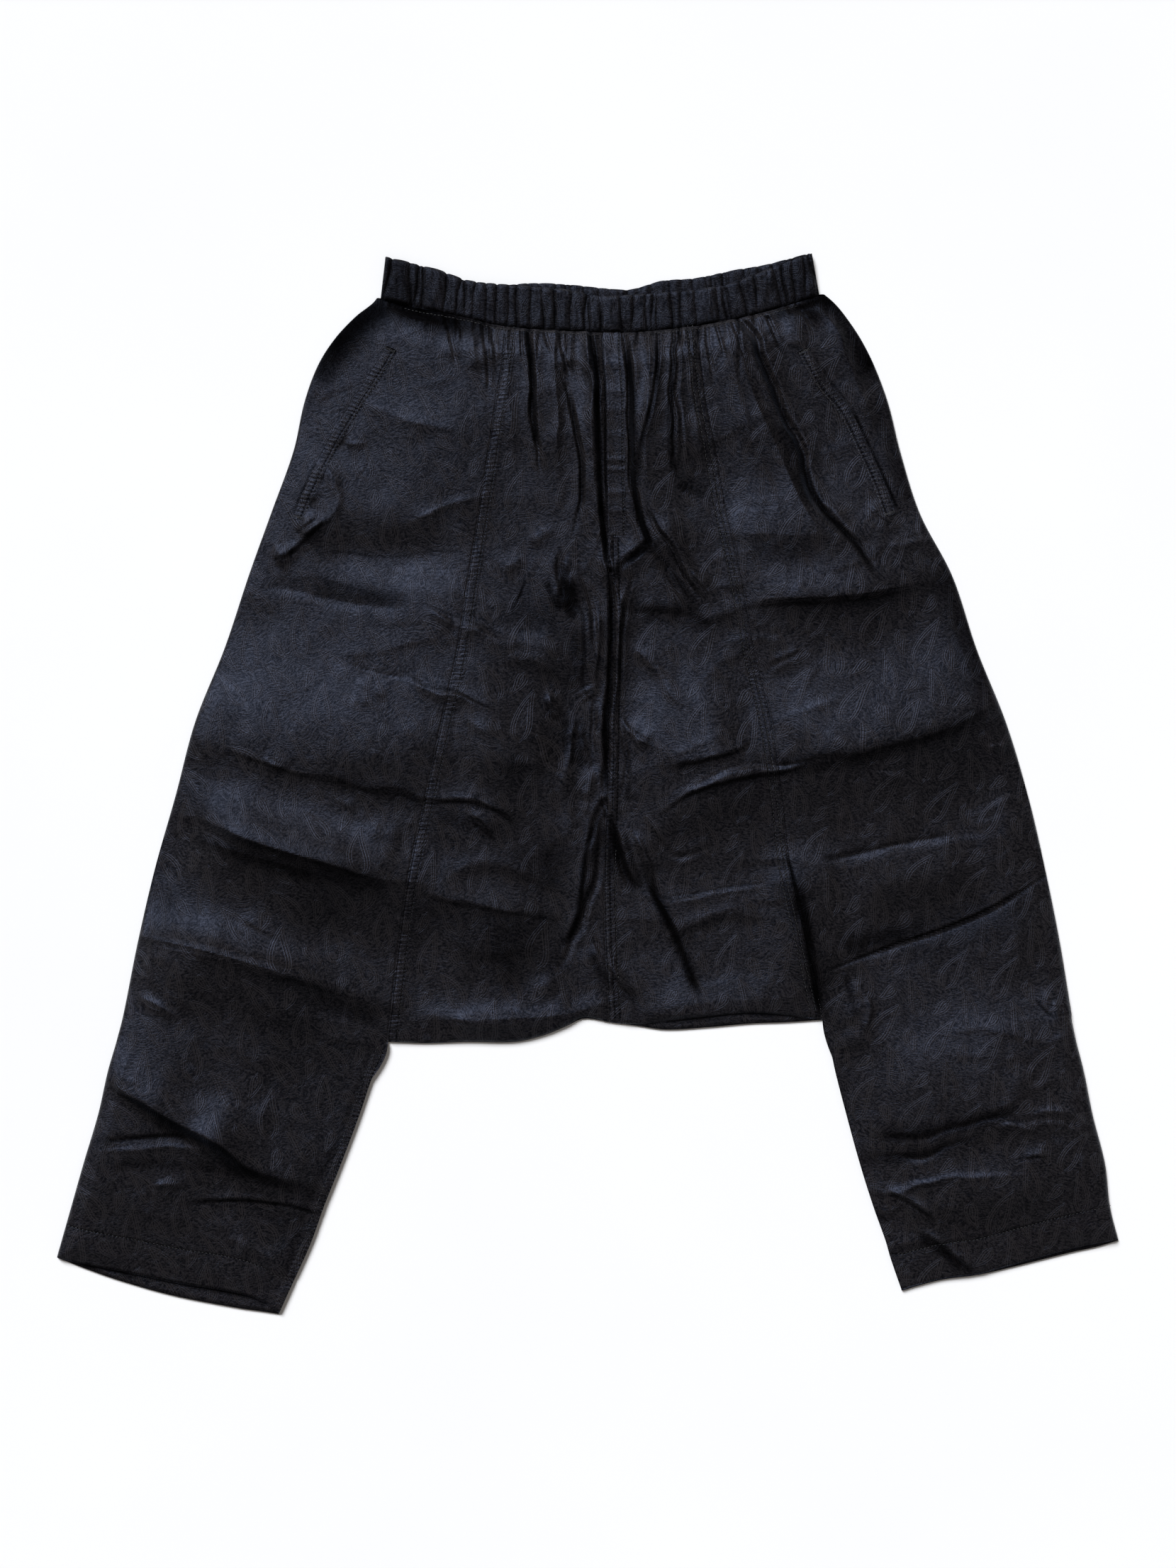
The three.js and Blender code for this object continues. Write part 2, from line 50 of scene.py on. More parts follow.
BODY = dict(
    y=[402, 392, 380, 362, 340, 310, 270, 220, 170, 110, 50, -10, -70, -130, -190, -213],
    outerL=[-169, -174, -189, -206, -220, -231, -240, -258, -276, -296, -320, -336, -353, -367, -379, -385],
    seamL=[-66, -66, -66, -67, -69, -74, -80, -88, -96, -105, -118, -131, -144, -153, -160, -163],
    centre=[12, 12, 12, 12, 13, 15, 15, 16, 17, 18, 17, 16, 14, 15, 18, 18],
    seamR=[89, 89, 89, 90, 92, 96, 104, 113, 124, 135, 149, 158, 165, 178, 191, 192],
    outerR=[189, 201, 211, 223, 234, 245, 255, 271, 297, 317, 341, 359, 373, 385, 395, 400],
)
LEGS = dict(
    y=[-192, -211, -235, -270, -310, -345, -373, -387, -413, -433],
    outerL=[-379, -384, -391, -399, -411, -421, -429, -433, -440, -446],
    innerL=[-158, -163, -174, -186, -201, -215, -225, -231, -243, -252],
    innerR=[192, 197, 202, 211, 222, 233, 243, 247, 256, 263],
    outerR=[395, 399, 405, 412, 422, 426, 433, 437, 445, 451],
)
BAND = dict(
    x=[-170, -144, -121, -98, -74, -48, -17, 12, 35, 61, 87, 116, 145, 168, 183, 190],
    seam=[396, 390, 385, 380, 374, 371, 369, 368, 368, 370, 373, 378, 385, 392, 397, 399],
    frontTop=[430, 424, 418, 410, 407, 405, 402, 397, 398, 400, 402, 407, 418, 427, 432, 434],
    backTop=[430, 423, 416, 409, 406, 408, 407, 404, 403, 410, 412, 418, 423, 429, 433, 435],
)
BAND_ENDS = dict(topLeft=-165, seamLeft=-169, topRight=183, seamRight=189)
CROTCH = dict(
    x=[-163, -132, -98, -60, -37, -17, -3, 18, 41, 64, 99, 134, 162, 192],
    front=[-211, -212, -211, -211, -206, -198, -191, -195, -197, -195, -191, -188, -190, -193],
    back=[-211, -211, -210, -210, -206, -198, -192, -195, -198, -201, -199, -196, -195, -193],
)
HEM_LEFT = dict(
    x=[-433, -407, -381, -338, -286, -265, -252],
    front=[-387, -393, -398, -407, -416, -423, -432],
    back=[-387, -397, -406, -418, -428, -431, -433],
)
HEM_RIGHT = dict(
    x=[257, 266, 289, 319, 345, 393, 416, 433],
    front=[-413, -410, -404, -400, -393, -380, -375, -372],
    back=[-414, -411, -405, -401, -395, -383, -378, -373],
)
POCKETS = dict(
    y=[402, 356, 328, 306, 274, 245, 214, 170],
    left=[-149, -164, -181, -195, -214, -228, -241, -252],
    right=[160, 178, 194, 212, 228, 241, 252, 270],
)
FLY_WIDTH = 15.0
FLY_FOOT = 200.0
HEM_DEPTH = 28.5

# Folds: (name, crest height, width left of travel, width right of it, crest offset, trench depth, trench half width,
# fullness at the start and at the end, points). Left of travel is up on a line drawn to the right.
FOLDS = [
    ("pleat 1", 5.75, 13, 9, 1, 6, 2.4, 1, 0, [(-45.6, 369.2), (-44.5, 333.3), (-43.9, 299.3), (-41, 273.8), (-37, 244.4)]),
    ("pleat 1b", 2.75, 6, 6, 0, 2.6, 1.2, 1, 0, [(-53.2, 369.2), (-52.6, 355.3), (-52, 339.1)]),
    ("gather a", 1.6, 7, 7, 0, 2, 1.2, 1, 0, [(-105.7, 381.9), (-103.4, 371.5), (-101.7, 358.8)]),
    ("gather b", 1.4, 7, 7, 0, 1.8, 1.1, 0.6, 0, [(-78, 366.9), (-76.3, 354.1), (-74.5, 339.1)]),
    ("pleat 2 top", 3.75, 8, 8, 0, 3.2, 1.6, 1, 0, [(-23.7, 368), (-20.8, 354.1), (-16.8, 340.9), (-13.3, 333.3)]),
    ("pleat 2", 4.5, 9, 8, 1, 4.8, 2.2, 0.3, 0, [(-16.8, 323.5), (-13.3, 303.3), (-9.8, 289.4), (-5.2, 269.2), (-4, 248.4), (-6.9, 223), (-12.7, 194.7)]),
    ("pleat 2c", 2.5, 6, 6, 0, 2.4, 1.3, 1, 0, [(-35.2, 368), (-32.9, 358.8), (-27.2, 348.4)]),
    ("pleat 3", 7, 6, 13, -1, 5, 2.2, 1, 1, [(3.5, 368), (5.8, 349.5), (7.5, 326.4), (8.1, 299.3), (9.8, 265.8), (10.4, 231.7), (13.3, 201), (19.6, 172.2)]),
    ("centre fold", 5.8, 12, 12, 0, 5.6, 2.4, 1, 0.2, [(19.6, 172.2), (19.1, 138.7), (19.1, 118.4), (17.9, 69.3), (15.6, 52), (14.4, 7.5), (16.2, -20.2)]),
    ("centre fold left branch", 3.8, 9, 11, -1, 3.8, 2.6, 0.8, 0, [(13.3, -17.3), (4, -38.7), (0, -63.5), (-4, -109.2), (-13.3, -132.9)]),
    ("centre fold right branch", 4, 11, 8, 1, 4.6, 3, 0.8, 0, [(15, -14.4), (22.5, -40.4), (27.2, -63.5), (39.3, -90.7)]),
    ("centre fold lower", 3, 8, 8, 0, 3, 2.2, 0, 0, [(-5.2, -113.8), (12.1, -136.9), (25.4, -163.5), (45.6, -182)]),
    ("pleat 4", 6.75, 13, 5, 1, 5.4, 2.4, 1, 0.6, [(29.5, 366.9), (32.4, 343.7), (35.2, 316.6), (35.8, 273.8), (37, 240.3), (42.2, 214.9), (49.1, 194.7)]),
    ("pleat 4 foot", 4.5, 9, 9, 0, 4.4, 2.6, 0.6, 0, [(49.1, 194.7), (39.9, 186.6), (29.5, 177.4), (23.7, 165.8)]),
    ("pleat 5", 3.75, 8, 6, 0, 3.2, 1.6, 1, 0, [(57.2, 368), (56.6, 342.6), (54.3, 316.6), (49.1, 290.6), (43.9, 266.3)]),
    ("pleat 6", 3.25, 8, 7, 0, 2.8, 1.5, 1, 0, [(69.9, 369.2), (68.7, 332.2), (68.2, 291.7), (69.3, 265.8), (72.8, 242.1)]),
    ("pleat 6b", 2.25, 6, 6, 0, 2.2, 1.2, 1, 0, [(80.3, 369.2), (82, 357.6), (84.9, 342.6)]),
    ("pleat 7", 4.5, 9, 7, 1, 4, 2, 0, 0, [(46.8, 230.5), (55.5, 207.4), (66.4, 193), (79.7, 165.8), (87.2, 154.3), (98.2, 147.3)]),
    ("pleat 7b", 2.75, 6, 5, 0, 2.4, 1.5, 0, 0, [(81.5, 172.7), (89.5, 161.2), (98.8, 150.8)]),
    ("long pleat", 7.75, 12, 15, -1.5, 8.2, 3.6, 0.9, 0, [(121.9, 377.3), (128.8, 369.2), (135.8, 358.8), (143.9, 338), (154.3, 311.4), (164.1, 288.3), (173.9, 267.5), (177.9, 246.7), (188.9, 225.9), (203.9, 210.3), (217.8, 194.7), (231.7, 174.5), (243.2, 162.3)]),
    ("long pleat twin", 3.25, 7, 7, 0, 3, 1.6, 1, 0, [(145.6, 378.4), (150.8, 366.9), (157.1, 354.1)]),
    ("gather c", 2.2, 7, 7, 0, 2.8, 1.5, 1, 0, [(103.4, 373.8), (106.9, 362.2), (110.3, 346.1)]),
    ("gather d", 2, 6, 6, 0, 2.2, 1.2, 1, 0, [(169.3, 391.1), (175, 380.7), (185.4, 366.9)]),
    ("gather e", 1.8, 6, 6, 0, 2, 1.2, 1, 0, [(116.1, 376.7), (120.7, 361.1), (128.8, 338)]),
    ("left end hollow", 2.4, 6, 16, -7, 3.4, 5, 0, 0, [(-168.1, 393.4), (-151.9, 387.7), (-132.3, 381.9), (-109.2, 379.6)]),
    ("right end hollow", 2, 6, 12, -6, 2.6, 4, 0, 0, [(156.6, 386.5), (173.9, 385.3), (191.2, 388.8)]),
    ("right edge fold", 4.2, 9, 12, -4, 0, 1, 0.3, 0, [(191.2, 393.4), (205.1, 371.5), (217.8, 342.6), (229.4, 311.4), (238.6, 280.2)]),
    ("left hip step", -2.6, 22, 24, 0, 0, 3, 0.2, 0.1, [(-236.3, 185.4), (-211.4, 187.2), (-172.7, 183.7), (-150.8, 183.1), (-128.8, 187.2), (-93, 186)]),
    ("left crease 1", -3.15, 17, 5, 0, 0, 1.4, 0, 0, [(-275.6, 160), (-247.8, 156.6), (-219, 151.4), (-187.2, 145.6), (-155.4, 143.3), (-136.9, 143.3)]),
    ("left crease 2", -1.75, 9, 4, 0, 0.18, 1.1, 0, 0, [(-207.4, 101.1), (-183.1, 92.4), (-160.6, 87.8), (-138.1, 86.1)]),
    ("left small 1", 1.05, 5, 5, -2, 0.36, 1.1, 0, 0, [(-193.5, 72.8), (-183.1, 70.5), (-172.7, 67)]),
    ("left small 2", 1.22, 5, 5, -2, 0.36, 1.1, 0, 0, [(-176.2, 30), (-167, 22.5), (-158.9, 12.1)]),
    ("left mid broad crest", 1, 62, 30, 2, 0, 1, 0.3, 0.3, [(-327.6, 39.9), (-288.3, 34.1), (-236.3, 28.3), (-178.5, 30.6), (-132.3, 31.8), (-80.3, 37.6)]),
    ("left crease A", 2.1, 13, 5, 1.5, 0.6, 1.4, 0, 0, [(-317.2, 20.2), (-302.7, 22), (-287.7, 24.3), (-264, 17.3), (-238, 8.1), (-206.8, 2.3), (-179.1, -5.2), (-151.4, -7.5), (-131.1, -14.4), (-99.9, -14.4), (-74.5, -22)]),
    ("left crease A twig", 2.8, 6, 6, -3, 0.96, 1.4, 0, 0, [(-261.7, 25.4), (-252.5, 19.1), (-243.2, 11.6)]),
    ("left ridge F", 3.15, 10, 10, 0, 0.48, 2, 0, 0, [(-190.1, -30.6), (-167, -39.9), (-143.9, -45.6)]),
    ("left step B", 4.2, 30, 10, 0, 0, 1, 0, 0.2, [(-344.9, -31.8), (-327.6, -23.7), (-305.6, -31.8), (-293.5, -38.7), (-271.5, -47.4), (-234.6, -58.3), (-206.8, -65.9), (-179.1, -75.1), (-160.6, -79.7), (-138.1, -79.7)]),
    ("left step B tail", 4.2, 18, 7, 0, 0, 1, 0.2, 0, [(-143.9, -81.5), (-123.6, -90.7), (-86.1, -98.8), (-57.2, -104.6), (-16.8, -109.2)]),
    ("left crease C", 3.4, 26, 8, 0, 0.36, 1.4, 0.3, 0.3, [(-368, -124.8), (-346.1, -127.1), (-323.5, -129.4), (-286, -139.8), (-243.8, -152.5), (-201.6, -167), (-161.8, -182)]),
    ("left crease C shade", 0.6, 14, 26, 0, 0, 1, 0, 0, [(-288.3, -164.7), (-247.8, -184.9), (-207.4, -193.5), (-167, -202.2)]),
    ("left leg ridge", 1.75, 14, 12, 0, 0.36, 3, 0, 0, [(-380.7, -167), (-354.7, -177.4), (-327.6, -188.3)]),
    ("left leg small ridge", 2.1, 10, 9, 0, 0.3, 2, 0, 0, [(-305.6, -213.8), (-276.7, -220.1), (-247.8, -234)]),
    ("left leg diagonal", 3.4, 22, 8, 0, 0, 1, 0.3, 0, [(-391.1, -238.6), (-380.7, -249), (-357.6, -261.7), (-334.5, -275.6), (-311.4, -287.1), (-291.2, -298.7), (-276.7, -311.4), (-261.7, -318.3)]),
    ("left leg diagonal 2", 0.6, 24, 16, 0, 0, 1, 0, 0, [(-342.6, -251.3), (-305.6, -266.3), (-265.2, -289.4), (-220.1, -312.5)]),
    ("left leg outer", 2.8, 4, 9, -9, 0.84, 2.2, 0, 0, [(-403.8, -292.9), (-380.7, -289.4), (-351.8, -287.1), (-328.7, -287.1), (-305.6, -292.3), (-288.3, -298.7)]),
    ("left leg above hem", 2.1, 5, 4, 2.2, 0.96, 1.5, 0.1, 0.5, [(-329.9, -342.6), (-305.6, -339.7), (-276.7, -339.7), (-247.8, -342.6), (-224.7, -349.5), (-214.3, -353.6)]),
    ("left leg small 3", 1.4, 5, 4, 0, 0.36, 1.2, 0, 0, [(-350.7, -327), (-337.4, -326.4), (-324.1, -327.6)]),
    ("left leg small 4", 1.4, 7, 5, 0, 0.36, 1.3, 0, 0, [(-288.3, -325.3), (-265.2, -332.2), (-236.3, -333.3)]),
    ("left hem slump", 3.15, 10, 14, 0, 0, 1, 0, 0, [(-305.6, -366.9), (-282.5, -373.8), (-256.5, -390), (-245, -410.2)]),
    ("blotch bank", 4.55, 7, 7, 3, 1.92, 3.2, 0, 0, [(-13.3, 176.2), (-17.9, 160), (-20.2, 146.2), (-13.3, 131.1)]),
    ("centre left ridge 1", 4.55, 6, 9, 0, 1.32, 2, 0, 0, [(-15, 155.4), (-9.8, 146.2), (-2.9, 134.6), (-0.6, 115.5), (-1.2, 97.6), (-3.5, 78)]),
    ("centre left tuck", 2.8, 5, 5, 2, 1.2, 1.4, 0, 0, [(-4, 76.8), (2.3, 66.4)]),
    ("centre left ridge 2", 1.93, 4, 4, 0, 0.84, 2, 0, 0, [(-31.8, 79.1), (-28.3, 71.1), (-21.4, 54.9), (-12.1, 52.6)]),
    ("centre left trough", 3.15, 6, 8, -4, 1.08, 2, 0, 0, [(-4, 48), (-1.7, 34.1), (1.2, 13.3)]),
    ("centre left small", 2.27, 7, 5, 0, 0.72, 1.2, 0, 0, [(-71.1, 172.7), (-59.5, 177.4), (-49.1, 182)]),
    ("centre left small 2", 1.93, 4, 4, 0, 0.6, 1.5, 0, 0, [(-50.3, 193.5), (-36.4, 203.9), (-22.5, 209.7)]),
    ("centre left soft 1", 2.1, 18, 12, 0, 0, 1, 0, 0, [(-109.2, 60.7), (-80.3, 37.6), (-57.2, 8.7), (-39.9, -14.4)]),
    ("centre left soft 2", 1.8, 14, 12, 0, 0.6, 4, 0, 0, [(-126.5, -2.9), (-97.6, -26), (-74.5, -31.8), (-39.9, -26), (-11, -14.4)]),
    ("centre left soft 3", 2.45, 16, 14, 0, 0, 1, 0, 0, [(-28.3, 26), (-30.6, -8.7), (-22.5, -43.3), (-16.8, -78)]),
    ("centre left soft 4", 1.6, 12, 10, 0, 0.6, 4, 0, 0, [(-132.3, -54.9), (-103.4, -49.1), (-63, -58.3), (-22.5, -66.4)]),
    ("crotch left dip", 1.4, 18, 12, 8, 1, 8, 0, 0, [(-91.9, -130), (-74.5, -153.1), (-65.3, -176.2), (-61.8, -199.3)]),
    ("crotch left ridge", 1.4, 10, 10, 0, 0, 1, 0, 0, [(-132.3, -118.4), (-103.4, -130), (-80.3, -138.7), (-39.9, -130), (-16.8, -138.7)]),
    ("crotch left small", 2.8, 8, 8, 0, 0.36, 2, 0, 0, [(-155.4, -193.5), (-120.7, -187.8), (-86.1, -197), (-39.9, -193.5)]),
    ("crotch fan 1", 3.5, 7, 7, 0, 0.72, 2, 0, 0.4, [(2.9, -130), (5.2, -153.1), (7.5, -176.2), (7.5, -191.2)]),
    ("crotch fan 2", 3.15, 7, 7, 0, 0.6, 2, 0, 0.4, [(-39.9, -153.1), (-28.3, -170.4), (-13.3, -187.8)]),
    ("right trough 1", 2.45, 11, 5, 0, 0.72, 1.6, 0, 0, [(34.1, 139.2), (49.7, 141), (74.5, 140.4), (99.4, 134)]),
    ("right trough 1b", 1.93, 8, 5, 0, 0.48, 1.3, 0, 0, [(84.9, 133.5), (99.4, 132.9), (110.3, 136.9), (121.9, 144.4)]),
    ("right hip shade", 1.3, 26, 18, 0, 0, 5, 0.3, 0.3, [(98.8, 201.6), (133.5, 202.8), (173.9, 201.6), (220.1, 200.5)]),
    ("right pocket foot", 2.8, 7, 7, 2, 1.08, 1.5, 0, 0, [(223.6, 227.6), (236.3, 216.6), (255.9, 205.7)]),
    ("right edge crease", 2.8, 8, 8, -4, 0.84, 1.8, 0, 0.5, [(243.2, 196.4), (260.6, 199.3), (283.7, 203.4)]),
    ("right crease 1", 2.6, 24, 8, 1, 0.18, 1.4, 0, 0.2, [(125.4, 145.6), (145, 147.9), (163.5, 149.1), (191.2, 150.2), (220.1, 151.9), (244.4, 157.1), (269.2, 161.2), (288.3, 163.5)]),
    ("right crease 1 dark", 0.18, 8, 8, 0, 0, 1, 0, 0, [(127.7, 135.8), (179.7, 136.9), (231.7, 140.4)]),
    ("right centre line", 1.75, 7, 5, 0, 0.48, 1.3, 0, 0, [(73.4, 118.4), (87.2, 105.7), (102.8, 89), (121.9, 81.5), (139.2, 77.4)]),
    ("right centre small", 2.27, 6, 6, 2, 0.54, 1.3, 0, 0, [(142.1, 93), (159.5, 101.1), (180.8, 110.3)]),
    ("right centre ridge", 2.8, 8, 8, 0, 0.48, 1.6, 0, 0, [(31.2, 51.4), (43.3, 39.9), (58.3, 28.3)]),
    ("right centre broad", 0.9, 60, 24, 0, 0, 1, 0, 0, [(35.2, 31.8), (69.9, 30.6), (104.6, 37.6), (135.8, 41)]),
    ("right step", 2.2, 58, 14, 0, 0, 1, 0.2, 0.8, [(145, 15.6), (167, 17.3), (195.8, 26), (212, 22.5), (236.3, 29.5), (277.3, 39.3), (309.7, 52.6), (332.2, 66.4)]),
    ("right step edge", 2.8, 7, 8, -3, 0.84, 1.5, 0, 0.4, [(322.9, 31.8), (335.7, 33.5), (347.2, 34.7)]),
    ("right small 2", 2.1, 6, 6, -3, 0.6, 1.4, 0, 0, [(231.7, 9.2), (246.1, 9.2), (259.4, 5.8)]),
    ("right leg crease 4", -0.7, 24, 5, 0, 0.96, 1.4, 0.3, 0.4, [(206.2, -148.5), (226.5, -140.4), (260, -128.8), (294.6, -117.3), (322.4, -105.1), (350.1, -90.1), (373.8, -74.5)]),
    ("right leg fold over", 3.9, 16, 4, 3, 1.92, 2.6, 0, 0.5, [(166.4, -72.2), (170.4, -97.6), (176.2, -123.1), (183.1, -157.7), (190.1, -191.2)]),
    ("right leg inner bump", 3.15, 8, 8, 0, 0.6, 2, 0, 0, [(212, -156.6), (220.1, -176.2), (217.2, -193.5), (227, -210.9)]),
    ("right leg inner bump 2", 2.8, 8, 8, 0, 0.48, 2, 0, 0, [(208.6, -199.3), (223, -208.6), (237.4, -193.5)]),
    ("right leg edge tuck", 1.93, 6, 6, 1.5, 0.72, 1.3, 0, 0.6, [(365.7, -164.7), (370.3, -175), (374.9, -183.1), (394.6, -184.3)]),
    ("right leg edge line", 2.1, 6, 6, 0, 0.6, 1.2, 0, 0, [(359.9, -228.2), (353, -239.8), (341.4, -253.6)]),
    ("right leg trough 1", -1.75, 16, 5, 0, 0.72, 2.2, 0.2, 0.1, [(232.8, -290), (266.3, -288.9), (295.2, -283.7), (329.9, -272.7), (355.3, -265.2)]),
    ("right leg trough 2", -1.4, 12, 5, 0, 0.66, 2, 0.2, 0.1, [(236.3, -305), (266.3, -304.5), (289.4, -298.1), (320.6, -288.3)]),
    ("right leg ridge 1", 2.8, 3, 6, 0, 0.24, 1.3, 0, 0, [(327.6, -281.3), (350.7, -279), (376.1, -286)]),
    ("right leg ridge 2", 3.15, 3, 7, 0, 0.24, 1.3, 0.1, 0.6, [(355.3, -271), (373.8, -266.3), (393.4, -269.8), (416.5, -284.8)]),
    ("right leg ridge 3", 2.62, 2.6, 7, 0, 0, 1.2, 0.4, 0.1, [(227, -332.2), (250.2, -332.2), (272.1, -324.1), (301, -320.6), (329.9, -317.7), (354.1, -318.3)]),
    ("right leg tuck", 3.85, 4, 7, 2.6, 1.44, 2.2, 0.3, 0, [(240.9, -331), (254.8, -336.8), (268.6, -344.9), (282.5, -355.3)]),
    ("right leg tuck 2", 2.45, 5, 5, 2, 0.96, 1.3, 0.3, 0, [(233.4, -348.4), (240.3, -350.1), (247.8, -353.6)]),
    ("right hem wedge", 3.9, 6, 8, 3, 2.04, 3, 0.1, 0.4, [(262.3, -362.8), (282.5, -373.8), (299.8, -387.7), (317.2, -400.4)]),
    ("right leg small 5", 2.1, 6, 6, 2, 0.72, 1.2, 0, 0, [(353, -306.8), (365.7, -304.5), (379.6, -304.5)]),
    ("right leg small 6", 2.1, 6, 6, 2, 0.6, 1.3, 0, 0, [(398, -298.7), (400.4, -313.7), (403.8, -329.3)]),
    ("right leg broad", 0.9, 40, 30, 0, 0, 1, 0, 0, [(231.7, -210.9), (272.1, -228.2), (318.3, -228.2), (370.3, -210.9)]),
    ("left leg broad", 1, 30, 40, 0, 0, 1, 0, 0, [(-374.9, -210.9), (-328.7, -216.6), (-276.7, -228.2), (-213.2, -251.3)]),
    ("right outer swell", 2, 26, 26, 0, 0, 1, 0, 0, [(329.9, 14.4), (341.4, -43.3), (347.2, -106.9), (358.8, -164.7)]),
    ("left outer swell", 1.8, 26, 26, 0, 0, 1, 0, 0, [(-305.6, 95.3), (-322.9, 54.9), (-329.9, 8.7)]),
    ("pocket bag edge", 2.8, 5, 6, 0, 0.48, 1.4, 0, 0.3, [(-224.7, 268.6), (-212, 255.9), (-203.9, 239.8), (-201.6, 228.2), (-212, 212), (-229.4, 198.2)]),
    ("pocket crease 1", 3.15, 6, 6, 3, 1.2, 1.4, 0, 0, [(-235.7, 202.8), (-225.9, 208.6), (-215.5, 217.2)]),
    ("pocket crease 2", 3.15, 6, 6, 3, 1.2, 1.4, 0, 0, [(-230.5, 197.6), (-220.1, 203.9), (-210.9, 212)]),
    ("pocket crease 3", 3.5, 7, 7, 3, 1.2, 1.7, 0, 0, [(-255.4, 180.2), (-245, 184.3), (-233.4, 188.9)]),
    ("pocket crease 4", 2.1, 5, 5, -2, 0.72, 1.2, 0, 0, [(-207.4, 288.9), (-205.1, 287.1), (-201.6, 284.8), (-194.7, 277.9)]),
    ("pocket crease 5", 2.1, 5, 5, -2, 0.84, 1.1, 0, 0, [(-224.7, 254.8), (-217.8, 253.6), (-210.9, 250.2)]),
    ("pocket crease 6", 2.1, 5, 5, -2, 0.84, 1.1, 0, 0, [(-231.7, 238.6), (-224.7, 236.3), (-216.6, 231.7)]),
    ("pocket crease 7", 2.1, 5, 5, -2, 0.72, 1.1, 0, 0, [(-195.8, 279), (-187.2, 277.3), (-178.5, 277.9)]),
    ("swell left band", 2.2, 52, 44, 0, 0, 1, 0.5, 0.4, [(-348.9, 17.3), (-305.6, 28.3), (-236.3, 23.7), (-178.5, 23.7), (-132.3, 27.2), (-74.5, 31.8)]),
    ("swell left diagonal", 4.4, 30, 46, 0, 0, 1, 0.3, 0, [(-354.7, -8.7), (-305.6, -31.8), (-247.8, -54.9), (-190.1, -73.4), (-132.3, -87.2), (-74.5, -98.2)]),
    ("swell left lower", 4, 13, 44, 0, 0, 1, 0.3, 0.1, [(-374.9, -121.9), (-323.5, -132.3), (-286, -142.7), (-243.8, -155.4), (-190.1, -175)]),
    ("swell left leg", 2.2, 20, 30, 0, 0, 1, 0, 0.5, [(-340.3, -276.7), (-305.6, -292.9), (-265.2, -316), (-217.8, -334.5)]),
    ("swell left top", 2.2, 100, 36, 0, 0, 1, 0.5, 0.3, [(-259.4, 169.3), (-219, 176.2), (-167, 169.3), (-120.7, 167.5), (-74.5, 170.4)]),
    ("swell right top", 2.4, 110, 30, 0, 0, 1, 0.3, 0.6, [(75.7, 150.2), (121.9, 147.3), (179.7, 149.6), (237.4, 156.6), (289.4, 167.5)]),
    ("swell right band", 3, 62, 46, 0, 0, 1, 0.3, 0.8, [(121.9, 27.2), (168.1, 19.1), (214.3, 26), (272.1, 39.9), (329.9, 61.8)]),
    ("swell centre right", 1.4, 62, 40, 0, 0, 1, 0, 0, [(29.5, 37.6), (64.1, 34.1), (104.6, 37.6), (133.5, 39.9)]),
    ("swell centre left", 3, 56, 40, 0, 0, 1, 0, 0, [(-109.2, 26), (-74.5, 20.2), (-39.9, 23.7), (-11, 31.8)]),
    ("swell right leg 1", 3.4, 60, 24, 0, 0, 1, 0, 0.2, [(202.8, -83.8), (249, -78), (295.2, -67.6), (341.4, -52.6)]),
    ("swell right leg 2", 3.2, 80, 22, 0, 0, 1, 0, 0.2, [(220.1, -283.7), (272.1, -280.2), (329.9, -266.3), (387.7, -251.3)]),
    ("swell right leg 3", 2.6, 50, 24, 0, 0, 1, 0, 0.2, [(243.2, -338), (301, -338), (358.8, -326.4), (410.8, -314.9)]),
    ("swell crotch right", 3, 26, 14, 0, 0, 1, 0, 0, [(35.2, -186.6), (75.7, -188.9), (121.9, -187.8), (179.7, -186.6)]),
    ("swell crotch left", 1.4, 30, 40, 0, 0, 1, 0, 0, [(-138.1, -110.3), (-97.6, -116.1), (-57.2, -118.4), (-16.8, -121.9)]),
    ("swell centre strip", 1.6, 34, 30, 0, 0, 1, 0.3, 0, [(-16.8, 314.9), (-21.4, 234), (-19.1, 153.1), (-9.8, 83.8), (-4, 26)]),
    ("swell placket right", 2.2, 34, 26, 0, 0, 1, 0.4, 0, [(58.3, 349.5), (58.3, 280.2), (61.8, 210.9), (75.7, 153.1)]),
    ("swell long pleat", 3, 12, 34, 0, 0, 1, 0.4, 0, [(118.4, 366.9), (134.6, 314.9), (155.4, 268.6), (179.7, 216.6), (214.3, 176.2)]),
    ("pleat ridge 1", 4.5, 8, 10, 0, 0, 1, 1, 0, [(-27.2, 369.2), (-26, 326.4), (-24.8, 291.7), (-22.5, 257.1), (-22.5, 234)]),
    ("pleat ridge 2", 4.5, 7, 7, 0, 0, 1, 1, 0, [(1.7, 364.5), (2.3, 314.9), (4.6, 268.6), (5.2, 222.4), (0.6, 193.5)]),
    ("pleat ridge 3", 4.25, 9, 8, 0, 0, 1, 1, 0, [(48, 364.5), (49.1, 314.9), (48.5, 268.6), (51.4, 234), (58.3, 210.9)]),
    ("pleat ridge 4", 3.75, 9, 9, 0, 0, 1, 1, 0, [(82.6, 369.2), (84.9, 326.4), (89.5, 280.2), (93, 245.5)]),
    ("pleat ridge 5", 4.25, 10, 12, 0, 0, 1, 1, 0, [(112.7, 371.5), (118.4, 332.2), (128.8, 291.7), (142.7, 254.8), (156.6, 222.4)]),
    ("pleat ridge 6", 3.5, 9, 9, 0, 0, 1, 1, 0, [(-66.4, 370.3), (-64.1, 326.4), (-61.8, 291.7), (-59.5, 257.1)]),
    ("pleat ridge 7", 3.25, 7, 7, 0, 0, 1, 1, 0, [(-95.3, 377.3), (-93, 355.3), (-88.4, 326.4)]),
    ("pleat ridge 8", 3.25, 8, 8, 0, 0, 1, 1, 0, [(162.3, 384.2), (170.4, 361.1), (183.1, 332.2), (193.5, 303.3)]),
